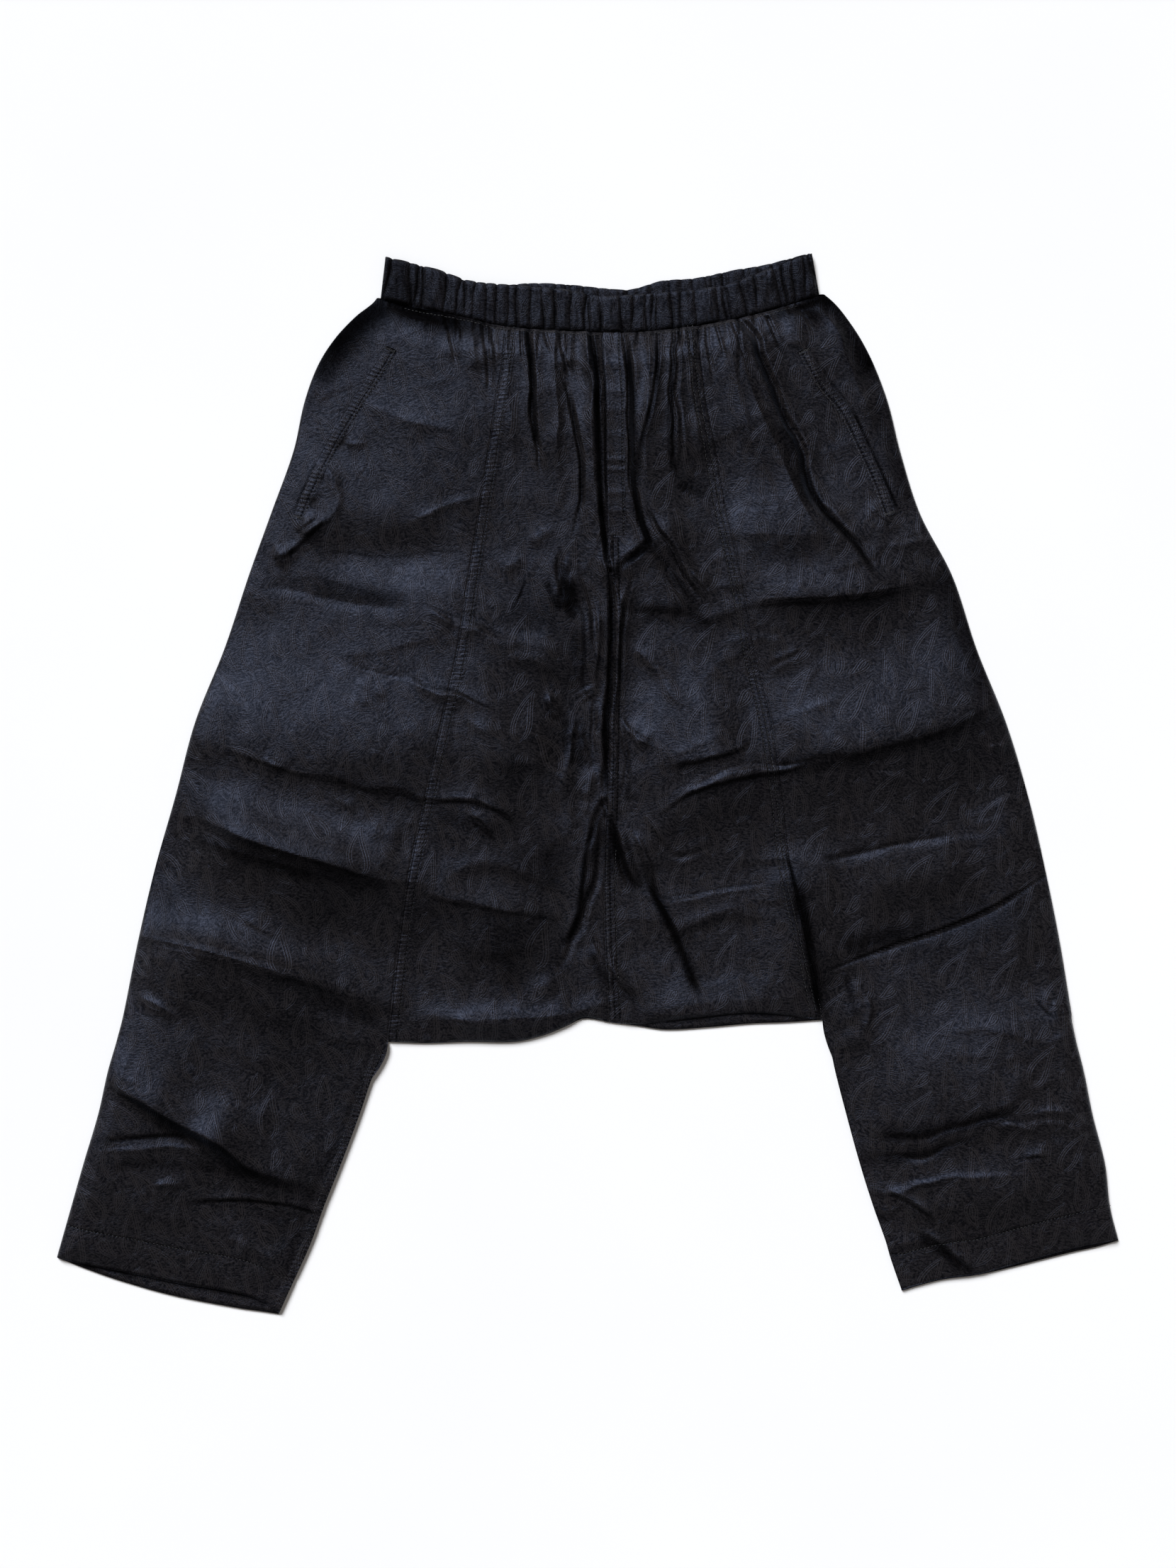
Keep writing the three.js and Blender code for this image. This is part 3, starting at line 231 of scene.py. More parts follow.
    ("pleat dark 1", 3.25, 5, 5, 0, 3, 2.2, 1, 0, [(-17.9, 369.2), (-16.8, 349.5), (-15.6, 326.4)]),
    ("pleat dark 2", 3, 5, 5, 0, 2.8, 2, 1, 0, [(74.5, 369.2), (73.4, 338), (74.5, 297.5), (76.8, 245.5)]),
    ("pleat dark 3", 2.75, 5, 5, 0, 2.6, 1.8, 1, 0, [(95.3, 371.5), (97.6, 349.5), (103.4, 321.8)]),
    ("pleat dark 4", 2.75, 5, 5, 0, 2.8, 1.8, 1, 0, [(-84.9, 372.6), (-82.6, 349.5), (-79.1, 314.9)]),
    ("pleat dark 5", 2.5, 5, 5, 0, 2.4, 1.8, 1, 0, [(-115, 381.9), (-111.5, 363.4), (-106.9, 338)]),
    ("centre b", 4.2, 8, 12, 0, 0.72, 2.4, 0, 0, [(58.3, 234), (75.7, 187.8), (104.6, 153.1), (133.5, 130)]),
    ("centre c", 4.9, 10, 6, 0, 0.96, 2.2, 0, 0, [(-74.5, 95.3), (-51.4, 101.1), (-22.5, 89.5), (0.6, 66.4)]),
    ("centre d", 4.55, 10, 6, 0, 0.84, 2.2, 0, 0, [(-80.3, 8.7), (-51.4, 14.4), (-22.5, 5.2), (2.9, -14.4)]),
    ("centre e", 4.55, 9, 6, 0, 0.84, 2.2, 0, 0, [(29.5, 118.4), (52.6, 95.3), (69.9, 66.4), (98.8, 54.9)]),
    ("centre f", 2.1, 9, 6, 0, 0.84, 2.2, 0, 0, [(23.7, -2.9), (52.6, 8.7), (87.2, 26), (127.7, 49.1)]),
    ("centre h", 3.85, 6, 10, 0, 0.72, 2, 0, 0, [(-109.2, 130), (-74.5, 118.4), (-39.9, 112.7), (-5.2, 95.3)]),
    ("centre i", 4.55, 8, 10, 0, 0.96, 2.4, 0, 0, [(-9.8, 26), (-16.8, -2.9), (-12.1, -31.8), (-16.8, -66.4)]),
    ("centre j", 4.2, 10, 6, 0, 0.96, 2.2, 0, 0, [(-120.7, -78), (-80.3, -66.4), (-39.9, -78), (-5.2, -95.3)]),
    ("centre k", 4.2, 9, 6, 0, 0.84, 2.2, 0, 0, [(58.3, -130), (87.2, -112.7), (121.9, -106.9), (156.6, -112.7)]),
    ("bunch 1", 3, 8, 8, 0, 4, 3.4, 0, 0, [(-16.8, 193.5), (-21.4, 176.2), (-17.9, 154.3), (-7.5, 134.6)]),
    ("bunch 3", 2.6, 7, 8, 0, 3, 2.2, 0, 0, [(-7.5, 184.3), (-2.9, 161.2), (4, 140.4), (7.5, 115), (9.8, 83.8)]),
    ("bunch 4", 2.4, 7, 7, 0, 3, 2, 0, 0, [(39.9, 176.2), (31.8, 154.3), (28.3, 130), (27.2, 101.1), (26, 66.4)]),
    ("bunch 5", 2.2, 8, 6, 0, 2.4, 1.8, 0, 0, [(58.3, 176.2), (64.1, 161.2), (73.4, 147.3), (80.3, 138.1)]),
    ("low 1", 2.6, 8, 7, 0, 2.8, 2.4, 0, 0, [(9.8, 72.2), (4, 49.1), (2.9, 26), (5.2, 0.6)]),
    ("low 2", 2.2, 7, 7, 0, 2.2, 1.8, 0, 0, [(24.8, 60.7), (29.5, 34.1), (31.8, 8.7), (27.2, -14.4)]),
    ("low 3", 3, 9, 8, 0, 3.6, 3, 0.5, 0, [(13.3, -26), (9.8, -54.9), (5.2, -83.8), (-7.5, -112.7), (-16.8, -141.5), (-34.1, -164.7)]),
    ("low 5", 2.2, 8, 8, 0, 2.2, 2.4, 0, 0, [(43.9, -26), (58.3, -49.1), (75.7, -60.7), (104.6, -49.1)]),
    ("low 6", 1.2, 8, 8, 0, 0.8, 2, 0, 0, [(-74.5, -83.8), (-80.3, -118.4), (-74.5, -153.1), (-65.3, -182)]),
    ("tilt centre left", 4, 66, 110, 0, 0, 1, 0.3, 0.4, [(-109.2, 199.3), (-103.4, 118.4), (-97.6, 26), (-103.4, -66.4), (-109.2, -147.3)]),
    ("tilt centre right", 4, 70, 34, 0, 0, 1, 0, 0, [(23.7, -43.3), (75.7, -14.4), (133.5, 8.7), (168.1, 20.2)]),
    ("tilt right hip", 3.6, 60, 110, 0, 0, 1, 0.4, 0.6, [(98.8, 176.2), (145, 169.3), (202.8, 172.7), (266.3, 187.8)]),
    ("tilt band left", 3, 84, 60, 0, 0, 1, 0.6, 0.5, [(-334.5, 34.1), (-282.5, 30.6), (-224.7, 27.2), (-167, 28.3), (-120.7, 30.6)]),
    ("tilt band right", 3.2, 72, 60, 0, 0, 1, 0.5, 0.9, [(133.5, 24.8), (179.7, 22.5), (225.9, 30.6), (277.9, 45.6), (324.1, 66.4)]),
    ("tilt left outer", 4, 20, 70, 0, 0, 1, 0, 0.2, [(-340.3, -36.4), (-294.1, -52.6), (-236.3, -68.7), (-178.5, -83.8)]),
    ("tilt left leg", 2.8, 16, 60, 0, 0, 1, 0, 0.2, [(-369.2, -130), (-305.6, -141.5), (-247.8, -156.6), (-190.1, -175)]),
    ("tilt leg foot", 2.4, 40, 16, 0, 0, 1, 0.1, 0.7, [(-328.7, -280.2), (-305.6, -291.7), (-276.7, -312.5), (-219, -327.6)]),
    ("tilt crotch edge", 3.4, 14, 40, 0, 0, 1, 0.2, 0.2, [(-132.3, -192.4), (-74.5, -191.2), (-16.8, -187.8), (23.7, -176.2)]),
    ("tilt right fold", 3.6, 34, 26, 0, 0, 1, 0, 0.2, [(168.1, -43.3), (172.7, -89.5), (179.7, -135.8), (185.4, -182)]),
    ("crisp 1", 2.8, 2.4, 7, -3, 0.72, 1.2, 0.1, 0.1, [(-133.5, 147.3), (-119.6, 139.2), (-103.4, 131.7), (-83.8, 125.9), (-65.3, 119.6)]),
    ("crisp 2", 2.98, 2.4, 6, -3.2, 0.84, 1.2, 0.1, 0.1, [(-148.5, 90.7), (-138.1, 82.6), (-123.1, 76.8), (-105.7, 74.5), (-90.7, 66.4), (-74.5, 58.9)]),
    ("crisp 3", 3.15, 3, 3, 0, 0, 1, 0.2, 0.2, [(-31.8, 76.8), (-27.2, 63), (-17.9, 57.2)]),
    ("crisp 4", 3.5, 4, 5, 0, 0, 1, 0, 0, [(-12.1, 57.2), (-14.4, 31.8), (-16.8, 2.9)]),
    ("crisp 5", 4.2, 3, 7, 0, 0, 1, 0.3, 0.2, [(9.8, 141.5), (8.7, 118.4), (7.5, 89.5), (5.2, 69.3)]),
    ("crisp 6", 3.85, 2.5, 2.5, 0, 0, 1, 0.5, 0.3, [(26, 147.3), (24.3, 118.4), (23.7, 83.8), (22.5, 49.1), (21.4, 14.4), (22.5, -20.2)]),
    ("crisp 7", 2.8, 2.4, 5, -2.6, 0.72, 1.2, 0.2, 0.1, [(28.3, 53.7), (36.4, 44.5), (45.6, 36.4), (56, 30.6)]),
    ("crisp 8", 2.98, 6, 3, 1.5, 0.84, 1.5, 0.1, 0.1, [(66.4, 11), (84.3, 15.6), (104.6, 20.2), (121.9, 26), (133.5, 34.1)]),
    ("crisp 9", 2.98, 3, 6, -3.4, 0.78, 1.3, 0, 0.2, [(72.8, -4), (90.1, 0.6), (104.6, 7.5), (121.9, 13.3), (150.8, 15.6), (185.4, 16.8)]),
    ("crisp 10", 3.15, 6, 3, 2, 0.96, 1.5, 0, 0.2, [(52.6, -30.6), (67, -20.2), (82.6, -9.8), (101.7, -1.7), (127.7, 4), (156.6, 8.7), (185.4, 14.4)]),
    ("crisp 11", 4.55, 4, 5, 0, 0, 1, 0.1, 0.1, [(35.2, -35.2), (42.2, -45.6), (49.1, -61.8), (52.6, -78), (51.4, -90.7)]),
    ("crisp 12", 4.9, 9, 5, 1, 1.8, 2.2, 0, 0, [(45.6, -72.2), (56, -94.2), (66.4, -113.8), (76.8, -136.9), (83.8, -156.6), (91.9, -176.2)]),
    ("crisp 13", 2.8, 2.6, 8, -3, 0.72, 1.2, 0.1, 0.1, [(53.7, -90.7), (69.9, -94.2), (98.8, -87.2), (121.9, -83.8), (147.3, -80.3)]),
    ("crisp 14", 4.55, 3, 5, 0, 0, 1, 0.2, 0.2, [(6.4, -38.7), (1.7, -58.3), (-0.6, -83.8), (-2.9, -106.9)]),
    ("crisp 15", 3.5, 5, 4, 2, 0.36, 1.4, 0.1, 0.1, [(0.6, -127.7), (12.1, -142.7), (27.2, -161.2), (45.6, -175)]),
    ("crisp 16", 2.8, 7, 3, 2, 0.72, 1.4, 0.2, 0.1, [(-130, -14.4), (-99.9, -15), (-80.3, -20.2), (-65.9, -26.6), (-58.3, -36.4)]),
    ("crisp 17", 2.62, 5, 3, 1.6, 0.72, 1.3, 0.1, 0.1, [(-100.5, -24.8), (-88.4, -31.8), (-80.3, -41), (-73.4, -48)]),
    ("crisp 18", 4.55, 10, 14, 0, 0, 1, 0, 0, [(5.2, 14.4), (1.7, -8.7), (-1.7, -30.6)]),
    ("crisp 19", 1.05, 2.6, 5, -2.6, 0.36, 1.2, 0.1, 0.1, [(142.1, 90.7), (159.5, 98.8), (180.8, 109.2)]),
    ("tilt left leg side", 8, 110, 20, 0, 0, 1, 0.5, 0.8, [(-374.9, -158.9), (-398, -228.2), (-421.2, -309.1), (-432.7, -378.4)]),
    ("tilt right leg side", 6.5, 20, 110, 0, 0, 1, 0.5, 0.8, [(381.9, -141.5), (401.5, -228.2), (422.3, -314.9), (433.9, -372.6)]),
    ("crisp 21", 3.15, 4, 6, 0, 0, 1, 0.1, 0.1, [(222.4, -165.8), (229.4, -182), (227, -198.2), (221.3, -208.6)]),
    ("crisp 22", 2.62, 3, 5, 0, 0, 1, 0.1, 0.1, [(-355.3, -327.6), (-342.6, -325.3), (-331, -327.6)]),
    ("crisp 23", 2.45, 3, 5, 0, 0, 1, 0.1, 0.1, [(-369.2, -171.6), (-351.8, -177.4), (-327.6, -190.1)]),
    ("tilt top", 5, 24, 150, 0, 0, 1, 0.3, 0.3, [(-219, 364.5), (-109.2, 349.5), (17.9, 338), (133.5, 349.5), (225.9, 364.5)]),
    ("hip streak", 2.45, 5, 7, 0, 0, 1, 0.1, 0.1, [(-151.9, 210.9), (-126.5, 221.3), (-97.6, 231.7), (-74.5, 234)]),
    ("hip diagonal", 2.8, 12, 14, 0, 0, 1, 0.1, 0.1, [(-190.1, 314.9), (-155.4, 298.7), (-120.7, 288.3), (-91.9, 284.8)]),
    ("right crease 3", -2.62, 10, 5, 0, 0.24, 1.4, 0.1, 0, [(185.4, -63), (202.8, -60.1), (237.4, -53.2), (272.1, -46.2), (301, -41.6)]),
    ("left crease 1 tail", 1.75, 4.6, 6, 0, 0.06, 1.2, 0.1, 0, [(-143.9, 143.9), (-128.8, 141.5), (-111.5, 135.2), (-95.3, 130), (-80.3, 124.2), (-66.4, 117.3)]),
    ("left crease 2 tail", 1.75, 4.6, 6, 0, 0.06, 1.2, 0.1, 0, [(-140.4, 86.7), (-126.5, 78.6), (-109.2, 73.4), (-95.3, 65.9), (-73.4, 58.3)]),
    ("right leg leaf", 2.62, 2.8, 6, 0, 0.36, 1.4, 0.1, 0.3, [(347.2, -280.2), (369.2, -275.6), (390.5, -280.2), (414.2, -292.9)]),
    ("left foot crease", 2.8, 4, 4, -2, 0.96, 1.4, 0, 0, [(-258.2, 180.8), (-249, 185.4), (-240.9, 191.2)]),
    ("centre dark right", 2.8, 3, 5, -2, 0.84, 1.6, 0.1, 0.1, [(49.1, 201.6), (64.1, 176.2), (79.1, 155.4), (94.2, 138.1)]),
    ("below placket ridge", 3.15, 3, 5, 0, 0.6, 1.6, 0.2, 0.2, [(29.5, 176.2), (32.9, 161.2), (29.5, 143.9), (26, 118.4)]),
    ("foot diagonal", 2.62, 3, 4, 0, 0.84, 1.4, 0.1, 0.1, [(-257.1, 179.7), (-240.9, 190.6), (-223.6, 205.7), (-205.1, 221.8)]),
]


# Lines of painted shade: the cloth's colour is darkened along them, mostly inside folds, and, where 8 mm or wider, as
# soft shade beside them: (strength, half width, points)
PAINTED_SHADE = [
    (0.95, 2.6, [(3.5, 371.5), (5.8, 349.5), (7.5, 326.4), (8.1, 299.3), (9.8, 265.8), (10.4, 231.7), (13.3, 201), (19.6, 169.3)]),
    (0.95, 3.3, [(30.6, 369.2), (32.9, 343.7), (35.8, 316.6), (36.4, 273.8), (37.6, 240.3), (42.8, 214.9), (49.1, 194.7), (39.9, 185.4), (26, 172.7), (20.2, 158.9)]),
    (0.93, 3, [(19.6, 169.3), (19.1, 138.7), (19.1, 118.4), (17.9, 69.3), (15.6, 52), (15, 7.5), (16.2, -20.2)]),
    (0.8, 2.2, [(16.2, -17.9), (2.9, -41), (-2.9, -63.5), (-6.9, -101.1), (-14.4, -131.1)]),
    (0.85, 3.2, [(16.2, -20.2), (21.4, -37.6), (27.2, -57.8), (34.1, -75.7), (42.2, -87.2)]),
    (0.85, 3.4, [(48, -75.7), (56, -94.2), (66.4, -113.8), (76.8, -136.9), (83.8, -156.6), (91.9, -175)]),
    (0.85, 2.8, [(-50.3, 371.5), (-46.8, 349.5), (-44.5, 326.4), (-43.3, 297.5), (-41, 268.6)]),
    (0.55, 2.2, [(-16.8, 323.5), (-9.8, 289.4), (-4, 248.4), (-8.7, 210.9)]),
    (0.85, 3, [(125.4, 371.5), (135.8, 355.3), (143.9, 335.7), (154.3, 310.2), (164.1, 287.1), (173.9, 266.3), (179.7, 245.5), (190.1, 224.7), (205.1, 208), (219, 192.4), (232.8, 172.7), (244.4, 160)]),
    (0.9, 17, [(-221.3, 321.8), (-212, 348.4), (-197, 369.2), (-177.4, 384.2), (-155.4, 392.3)]),
    (0.8, 7, [(-157.7, 386.5), (-138.1, 384.2), (-109.2, 378.4)]),
    (0.85, 9, [(-155.4, 385.9), (-120.7, 377.3), (-74.5, 370.3)]),
    (0.92, 16, [(161.2, 395.7), (185.4, 396.9), (206.2, 388.8), (221.3, 363.4), (235.1, 326.4)]),
    (0.7, 6, [(150.8, 380.7), (168.1, 384.2), (191.2, 378.4)]),
    (0.45, 10, [(235.1, 314.9), (250.2, 268.6), (266.3, 222.4)]),
    (0.62, 17, [(284.8, 182), (301, 147.3), (317.2, 106.9), (328.7, 60.7)]),
    (0.75, 6, [(-22.5, 182), (-16.8, 158.9), (-9.8, 135.8)]),
    (0.4, 9, [(170.4, -60.7), (175, -106.9), (183.1, -153.1), (191.2, -191.2)]),
    (0.5, 2.4, [(32.9, 139.2), (52.6, 140.4), (75.7, 138.7), (93, 132.3), (104.6, 130)]),
    (0.35, 6, [(41, 134.6), (75.7, 132.3), (104.6, 125.4)]),
    (0.85, 1.7, [(213.2, 307.9), (229.4, 274.4), (242.6, 245.5), (255.4, 215.5)]),
    (0.45, 1.2, [(182, 349.5), (197, 327.6), (213.2, 307.9)]),
    (0.65, 1.6, [(-219.5, 265.8), (-229.4, 243.2), (-240.9, 218.4)]),
    (0.5, 1.5, [(175, 353), (161.2, 354.1)]),
    (0.45, 6, [(-325.8, -39.9), (-294.1, -53.7), (-259.4, -65.3), (-219, -76.8)]),
    (0.7, 2.4, [(-391.1, -240.9), (-380.7, -251.3), (-357.6, -264), (-334.5, -277.9), (-311.4, -290), (-291.2, -301.6), (-276.7, -314.9), (-261.7, -321.8)]),
    (0.5, 5, [(-363.4, -266.3), (-334.5, -283.7), (-305.6, -297.5), (-282.5, -314.9), (-253.6, -325.3), (-224.7, -329.9)]),
    (0.45, 1.6, [(-302.7, 21.4), (-287.7, 23.7), (-264, 16.2), (-238, 6.9), (-206.8, 1.2), (-179.1, -6.4), (-151.4, -8.7), (-131.1, -15.6), (-99.9, -15.6), (-74.5, -23.1)]),
    (0.4, 2, [(-245.5, 162.3), (-224.7, 168.1), (-202.2, 161.8), (-178.5, 154.8), (-164.1, 147.3)]),
    (0.45, 2, [(98.8, 131.1), (116.1, 136.9), (133.5, 143.3), (162.3, 145.6), (191.2, 146.7), (231.7, 151.4), (266.3, 157.7)]),
    (0.38, 5, [(162.3, 9.8), (214.3, 17.3), (266.3, 30.6), (318.3, 50.3)]),
    (0.5, 4, [(232.8, -288.3), (266.3, -287.1), (295.2, -281.3), (329.9, -270.4), (353, -262.9)]),
    (0.45, 3.4, [(236.3, -303.3), (266.3, -302.7), (289.4, -296.4), (318.3, -287.1)]),
    (0.7, 1.2, [(206.2, -149.1), (226.5, -141), (260, -129.4), (294.6, -117.9), (322.4, -105.7), (350.1, -90.7), (374.9, -75.7)]),
    (0.42, 7, [(212, -139.2), (228.8, -131.1), (254.8, -123.1), (277.9, -112.7)]),
    (0.8, 1.7, [(-329.9, -342.6), (-305.6, -339.7), (-276.7, -339.7), (-247.8, -342.6), (-224.7, -349.5), (-214.3, -353.6)]),
    (0.75, 2.4, [(-403.8, -292.9), (-380.7, -289.4), (-351.8, -287.1), (-328.7, -287.1), (-305.6, -292.3), (-286, -301)]),
    (0.4, 5, [(-398, -311.4), (-363.4, -309.1), (-328.7, -310.2), (-288.3, -314.9), (-247.8, -320.6)]),
    (0.9, 1.9, [(-433.3, -387.1), (-407.3, -392.8), (-381.3, -398), (-338, -406.7), (-286, -416), (-265.2, -422.9), (-251.9, -432.1)]),
    (0.65, 1.3, [(257.1, -413.1), (265.8, -410.2), (288.9, -403.8), (318.9, -399.8), (344.9, -392.8), (392.8, -380.1), (416, -374.9), (433.3, -372.1)]),
    (0.7, 1.4, [(75.7, -194.7), (98.8, -191.2), (134, -187.8), (161.8, -190.1), (185.4, -192.4)]),
    (0.32, 3.4, [(-174.5, -219), (-184.9, -244.4), (-203.9, -292.9), (-219, -319.5), (-233.4, -355.3), (-242.1, -387.1), (-251.3, -414.2)]),
    (0.6, 1.6, [(67.6, 338), (68.7, 303.3), (69.9, 268.6), (72.2, 243.2)]),
    (0.45, 3, [(72.2, 243.2), (82.6, 237.4), (96.5, 234)]),
    (0.6, 1.6, [(56.6, 361.1), (56, 338), (52.6, 313.7), (45.6, 286), (39.9, 265.2)]),
    (0.6, 1.6, [(49.1, 224.7), (59.5, 203.9), (71.1, 180.8), (82.6, 163.5), (93, 153.1)]),
    (0.55, 1.8, [(-1.7, 338), (5.2, 314.9), (9.8, 291.7)]),
    (0.5, 1.3, [(-24.8, 338), (-16.8, 314.9), (-13.3, 291.7)]),
    (0.85, 1.3, [(-50.3, 164.7), (-56, 151.9), (-61.8, 139.8)]),
    (0.65, 4.5, [(-21.4, 156.6), (-16.8, 142.7), (-9.8, 133.5)]),
    (0.7, 3.5, [(-34.1, 164.7), (-28.3, 150.8), (-20.2, 140.4)]),
    (0.4, 14, [(-63, 147.3), (-45.6, 135.8), (-22.5, 132.3)]),
    (0.35, 12, [(127.7, 190.6), (156.6, 188.9), (185.4, 190.1)]),
    (0.22, 7, [(127.7, 138.1), (162.3, 140.4), (202.8, 140.4), (237.4, 146.2), (266.3, 153.1)]),
    (0.6, 1.2, [(13.9, 363.4), (14.4, 314.9), (14.4, 268.6), (15, 224.7), (15.6, 199.3)]),
    (0.5, 1.2, [(-138.1, 147.3), (-124.2, 142.7), (-109.2, 136.3), (-93, 130.6), (-78, 124.8), (-65.3, 118.4)]),
    (0.55, 1.1, [(-148.5, 90.7), (-138.1, 82.6), (-123.1, 76.8), (-105.7, 74.5), (-90.7, 66.4), (-74.5, 58.9)]),
    (0.6, 2.4, [(-35.2, 69.3), (-29.5, 56), (-21.4, 51.4)]),
    (0.55, 3, [(-19.1, 53.7), (-18.5, 37.6), (-17.9, 22.5)]),
    (0.5, 3, [(-1.7, 52), (-5.2, 31.8), (-5.2, 8.7)]),
    (0.6, 1.8, [(-13.3, 149.6), (-5.2, 138.1), (-3.5, 118.4), (-2.9, 101.1), (-4.6, 82.6), (0.6, 69.3)]),
    (0.45, 7, [(-9.8, 130), (-9.8, 95.3), (-13.3, 78)]),
    (0.4, 1, [(28.3, 53.7), (36.4, 44.5), (45.6, 36.4), (56, 30.6)]),
    (0.5, 2.2, [(31.8, 28.3), (32.9, 16.8), (35.2, 6.4)]),
    (0.6, 2.4, [(32.9, -1.7), (32.9, -15.6)]),
    (0.55, 1.8, [(66.4, 11), (84.3, 15.6), (104.6, 20.2), (121.9, 26), (133.5, 34.1)]),
    (0.6, 1.7, [(52.6, -30.6), (67, -20.2), (82.6, -9.8), (101.7, -1.7), (127.7, 4), (156.6, 8.7), (185.4, 14.4)]),
    (0.6, 2.4, [(29.5, -37.6), (34.1, -54.9), (39.9, -73.4), (45.6, -86.1)]),
    (0.5, 1.2, [(53.7, -90.7), (69.9, -94.2), (98.8, -87.2), (121.9, -83.8), (147.3, -80.3)]),
    (0.85, 2, [(158.9, -49.1), (167, -75.7), (173.9, -106.9), (179.7, -135.8), (185.4, -170.4), (190.1, -192.4)]),
    (0.5, 9, [(154.3, -75.7), (163.5, -90.7), (171.6, -112.7)]),
    (0.45, 1.4, [(-132.3, -91.9), (-103.4, -98.8), (-74.5, -103.4), (-48, -108), (-16.8, -111.5)]),
    (0.75, 3.5, [(-6.4, -106.9), (-13.3, -121.9), (-22.5, -132.3)]),
    (0.6, 8, [(15.6, -34.7), (16.8, -54.9), (20.2, -78)]),
    (0.5, 4, [(-1.7, -132.3), (7.5, -148.5), (19.1, -163.5), (31.8, -171.6), (43.3, -177.4)]),
    (0.6, 2.2, [(-130, -15), (-99.9, -15.6), (-80.3, -20.8), (-65.9, -27.2), (-59.5, -35.2)]),
    (0.5, 1.8, [(-95.3, -29.5), (-83.8, -38.7), (-74.5, -48)]),
    (0.4, 5, [(-74.5, 12.1), (-61.8, 16.8), (-50.3, 22.5)]),
    (0.35, 16, [(-109.2, -141.5), (-74.5, -135.8), (-39.9, -130)]),
    (0.3, 20, [(-63, -54.9), (-39.9, -72.2), (-22.5, -83.8)]),
    (0.85, 4, [(170.4, -75.7), (177.4, -112.7), (183.7, -153.1), (190.6, -192.4)]),
    (0.55, 3.2, [(190.1, -61.8), (202.8, -59.5), (220.1, -55.5), (235.1, -52.6)]),
    (0.45, 1.8, [(231.7, -52.6), (254.8, -47.4), (277.9, -43.3), (298.1, -41)]),
    (0.6, 1.8, [(242.1, -332.8), (255.9, -338.5), (269.8, -346.6), (282.5, -355.9)]),
    (0.6, 1.4, [(234, -349.5), (240.9, -354.1), (246.7, -358.8)]),
    (0.6, 4, [(264, -365.7), (283.7, -376.7), (301, -390.5), (317.2, -400.4)]),
    (0.65, 1.3, [(361.7, -173.3), (372.6, -185.4), (378.4, -188.9), (394.6, -186.6)]),
    (0.6, 1.2, [(349.5, -305), (362.2, -303.3), (373.8, -303.9)]),
    (0.5, 3, [(208.6, -154.3), (214.3, -171.6), (216.6, -192.4)]),
    (0.4, 1.3, [(227, -335.1), (250.2, -335.7), (272.1, -327.6), (301, -324.1)]),
    (0.5, 7, [(-224.7, -173.9), (-195.8, -184.3), (-167, -192.4)]),
    (0.45, 9, [(-22.5, -43.3), (-30.6, -60.7), (-22.5, -83.8)]),
    (0.4, 10, [(-65.3, -112.7), (-67.6, -141.5), (-63, -170.4)]),
    (0.4, 5, [(69.9, 14.4), (98.8, 17.9), (124.2, 24.8)]),
    (0.45, 6, [(-12.1, 54.9), (-9.8, 31.8), (-11, 12.1)]),
    (0.4, 7, [(-125.4, -26), (-103.4, -30.6), (-74.5, -42.2)]),
    (0.5, 9, [(-224.7, 160), (-195.8, 154.3), (-167, 150.2), (-138.1, 148.5)]),
    (0.4, 1.4, [(-138.1, 89), (-125.4, 80.9), (-109.2, 75.7), (-95.3, 68.2), (-74.5, 60.7)]),
    (0.55, 13, [(-296.4, -50.3), (-259.4, -61.8), (-219, -72.2), (-178.5, -81.5), (-157.7, -86.1)]),
    (0.3, 22, [(-359.9, -104.6), (-340.3, -105.7), (-311.4, -110.3)]),
    (0.28, 18, [(-327.6, -4), (-305.6, -15.6), (-282.5, -27.2)]),
    (0.5, 8, [(207.4, -136.9), (217.8, -128.8), (235.1, -125.4), (260.6, -118.4)]),
    (0.3, 9, [(260.6, -118.4), (295.2, -108), (329.9, -94.2)]),
    (0.38, 18, [(250.2, -141.5), (295.2, -126.5), (335.7, -108), (363.4, -90.7)]),
    (0.45, 7, [(232.8, -284.8), (266.3, -283.7), (295.2, -278.5), (329.9, -269.8), (353, -262.9)]),
    (0.4, 5, [(214.3, -304.5), (249, -304.5), (277.9, -301), (297.5, -292.9)]),
    (0.35, 1.2, [(224.7, -384.8), (272.1, -376.7), (329.9, -365.7), (381.9, -354.1), (418.8, -345.5)]),
    (0.45, 5, [(269.8, -368), (289.4, -380.7), (307.9, -396.9)]),
    (0.6, 2, [(-257.1, 181.4), (-249, 184.9), (-242.1, 189.5)]),
    (0.55, 3.2, [(45.6, 205.1), (58.3, 184.3), (72.2, 165.8), (84.9, 149.6), (94.2, 139.2)]),
    (0.45, 5, [(24.8, 142.7), (49.7, 143.9), (75.7, 142.7), (98.8, 136.9)]),
    (0.55, 9, [(-19.1, 161.2), (-13.3, 151.9), (-9.8, 143.9)]),
    (0.9, 13, [(-217.8, 335.7), (-206.2, 356.5), (-190.1, 372.6), (-170.4, 384.2), (-148.5, 385.3), (-120.7, 378.4), (-88.4, 371.5)]),
    (0.6, 4.5, [(44.5, -61.8), (51.4, -80.3), (60.7, -102.3), (71.1, -125.4), (81.5, -151.9), (89.5, -173.9)]),
    (0.45, 5, [(12.1, -26), (5.2, -48), (-0.6, -75.7), (-5.2, -101.1), (-12.1, -121.9)]),
    (0.45, 5, [(16.8, -31.8), (23.7, -54.9), (31.8, -75.7), (41, -90.7)]),
    (0.35, 10, [(-16.8, -130), (-26, -141.5), (-35.2, -156.6)]),
    (0.6, 2, [(-255.9, 178.5), (-240.9, 188.3), (-224.7, 202.2), (-207.4, 216.6)]),
    (0.5, 1.5, [(-231.7, 194.7), (-220.1, 206.2), (-210.9, 217.8)]),
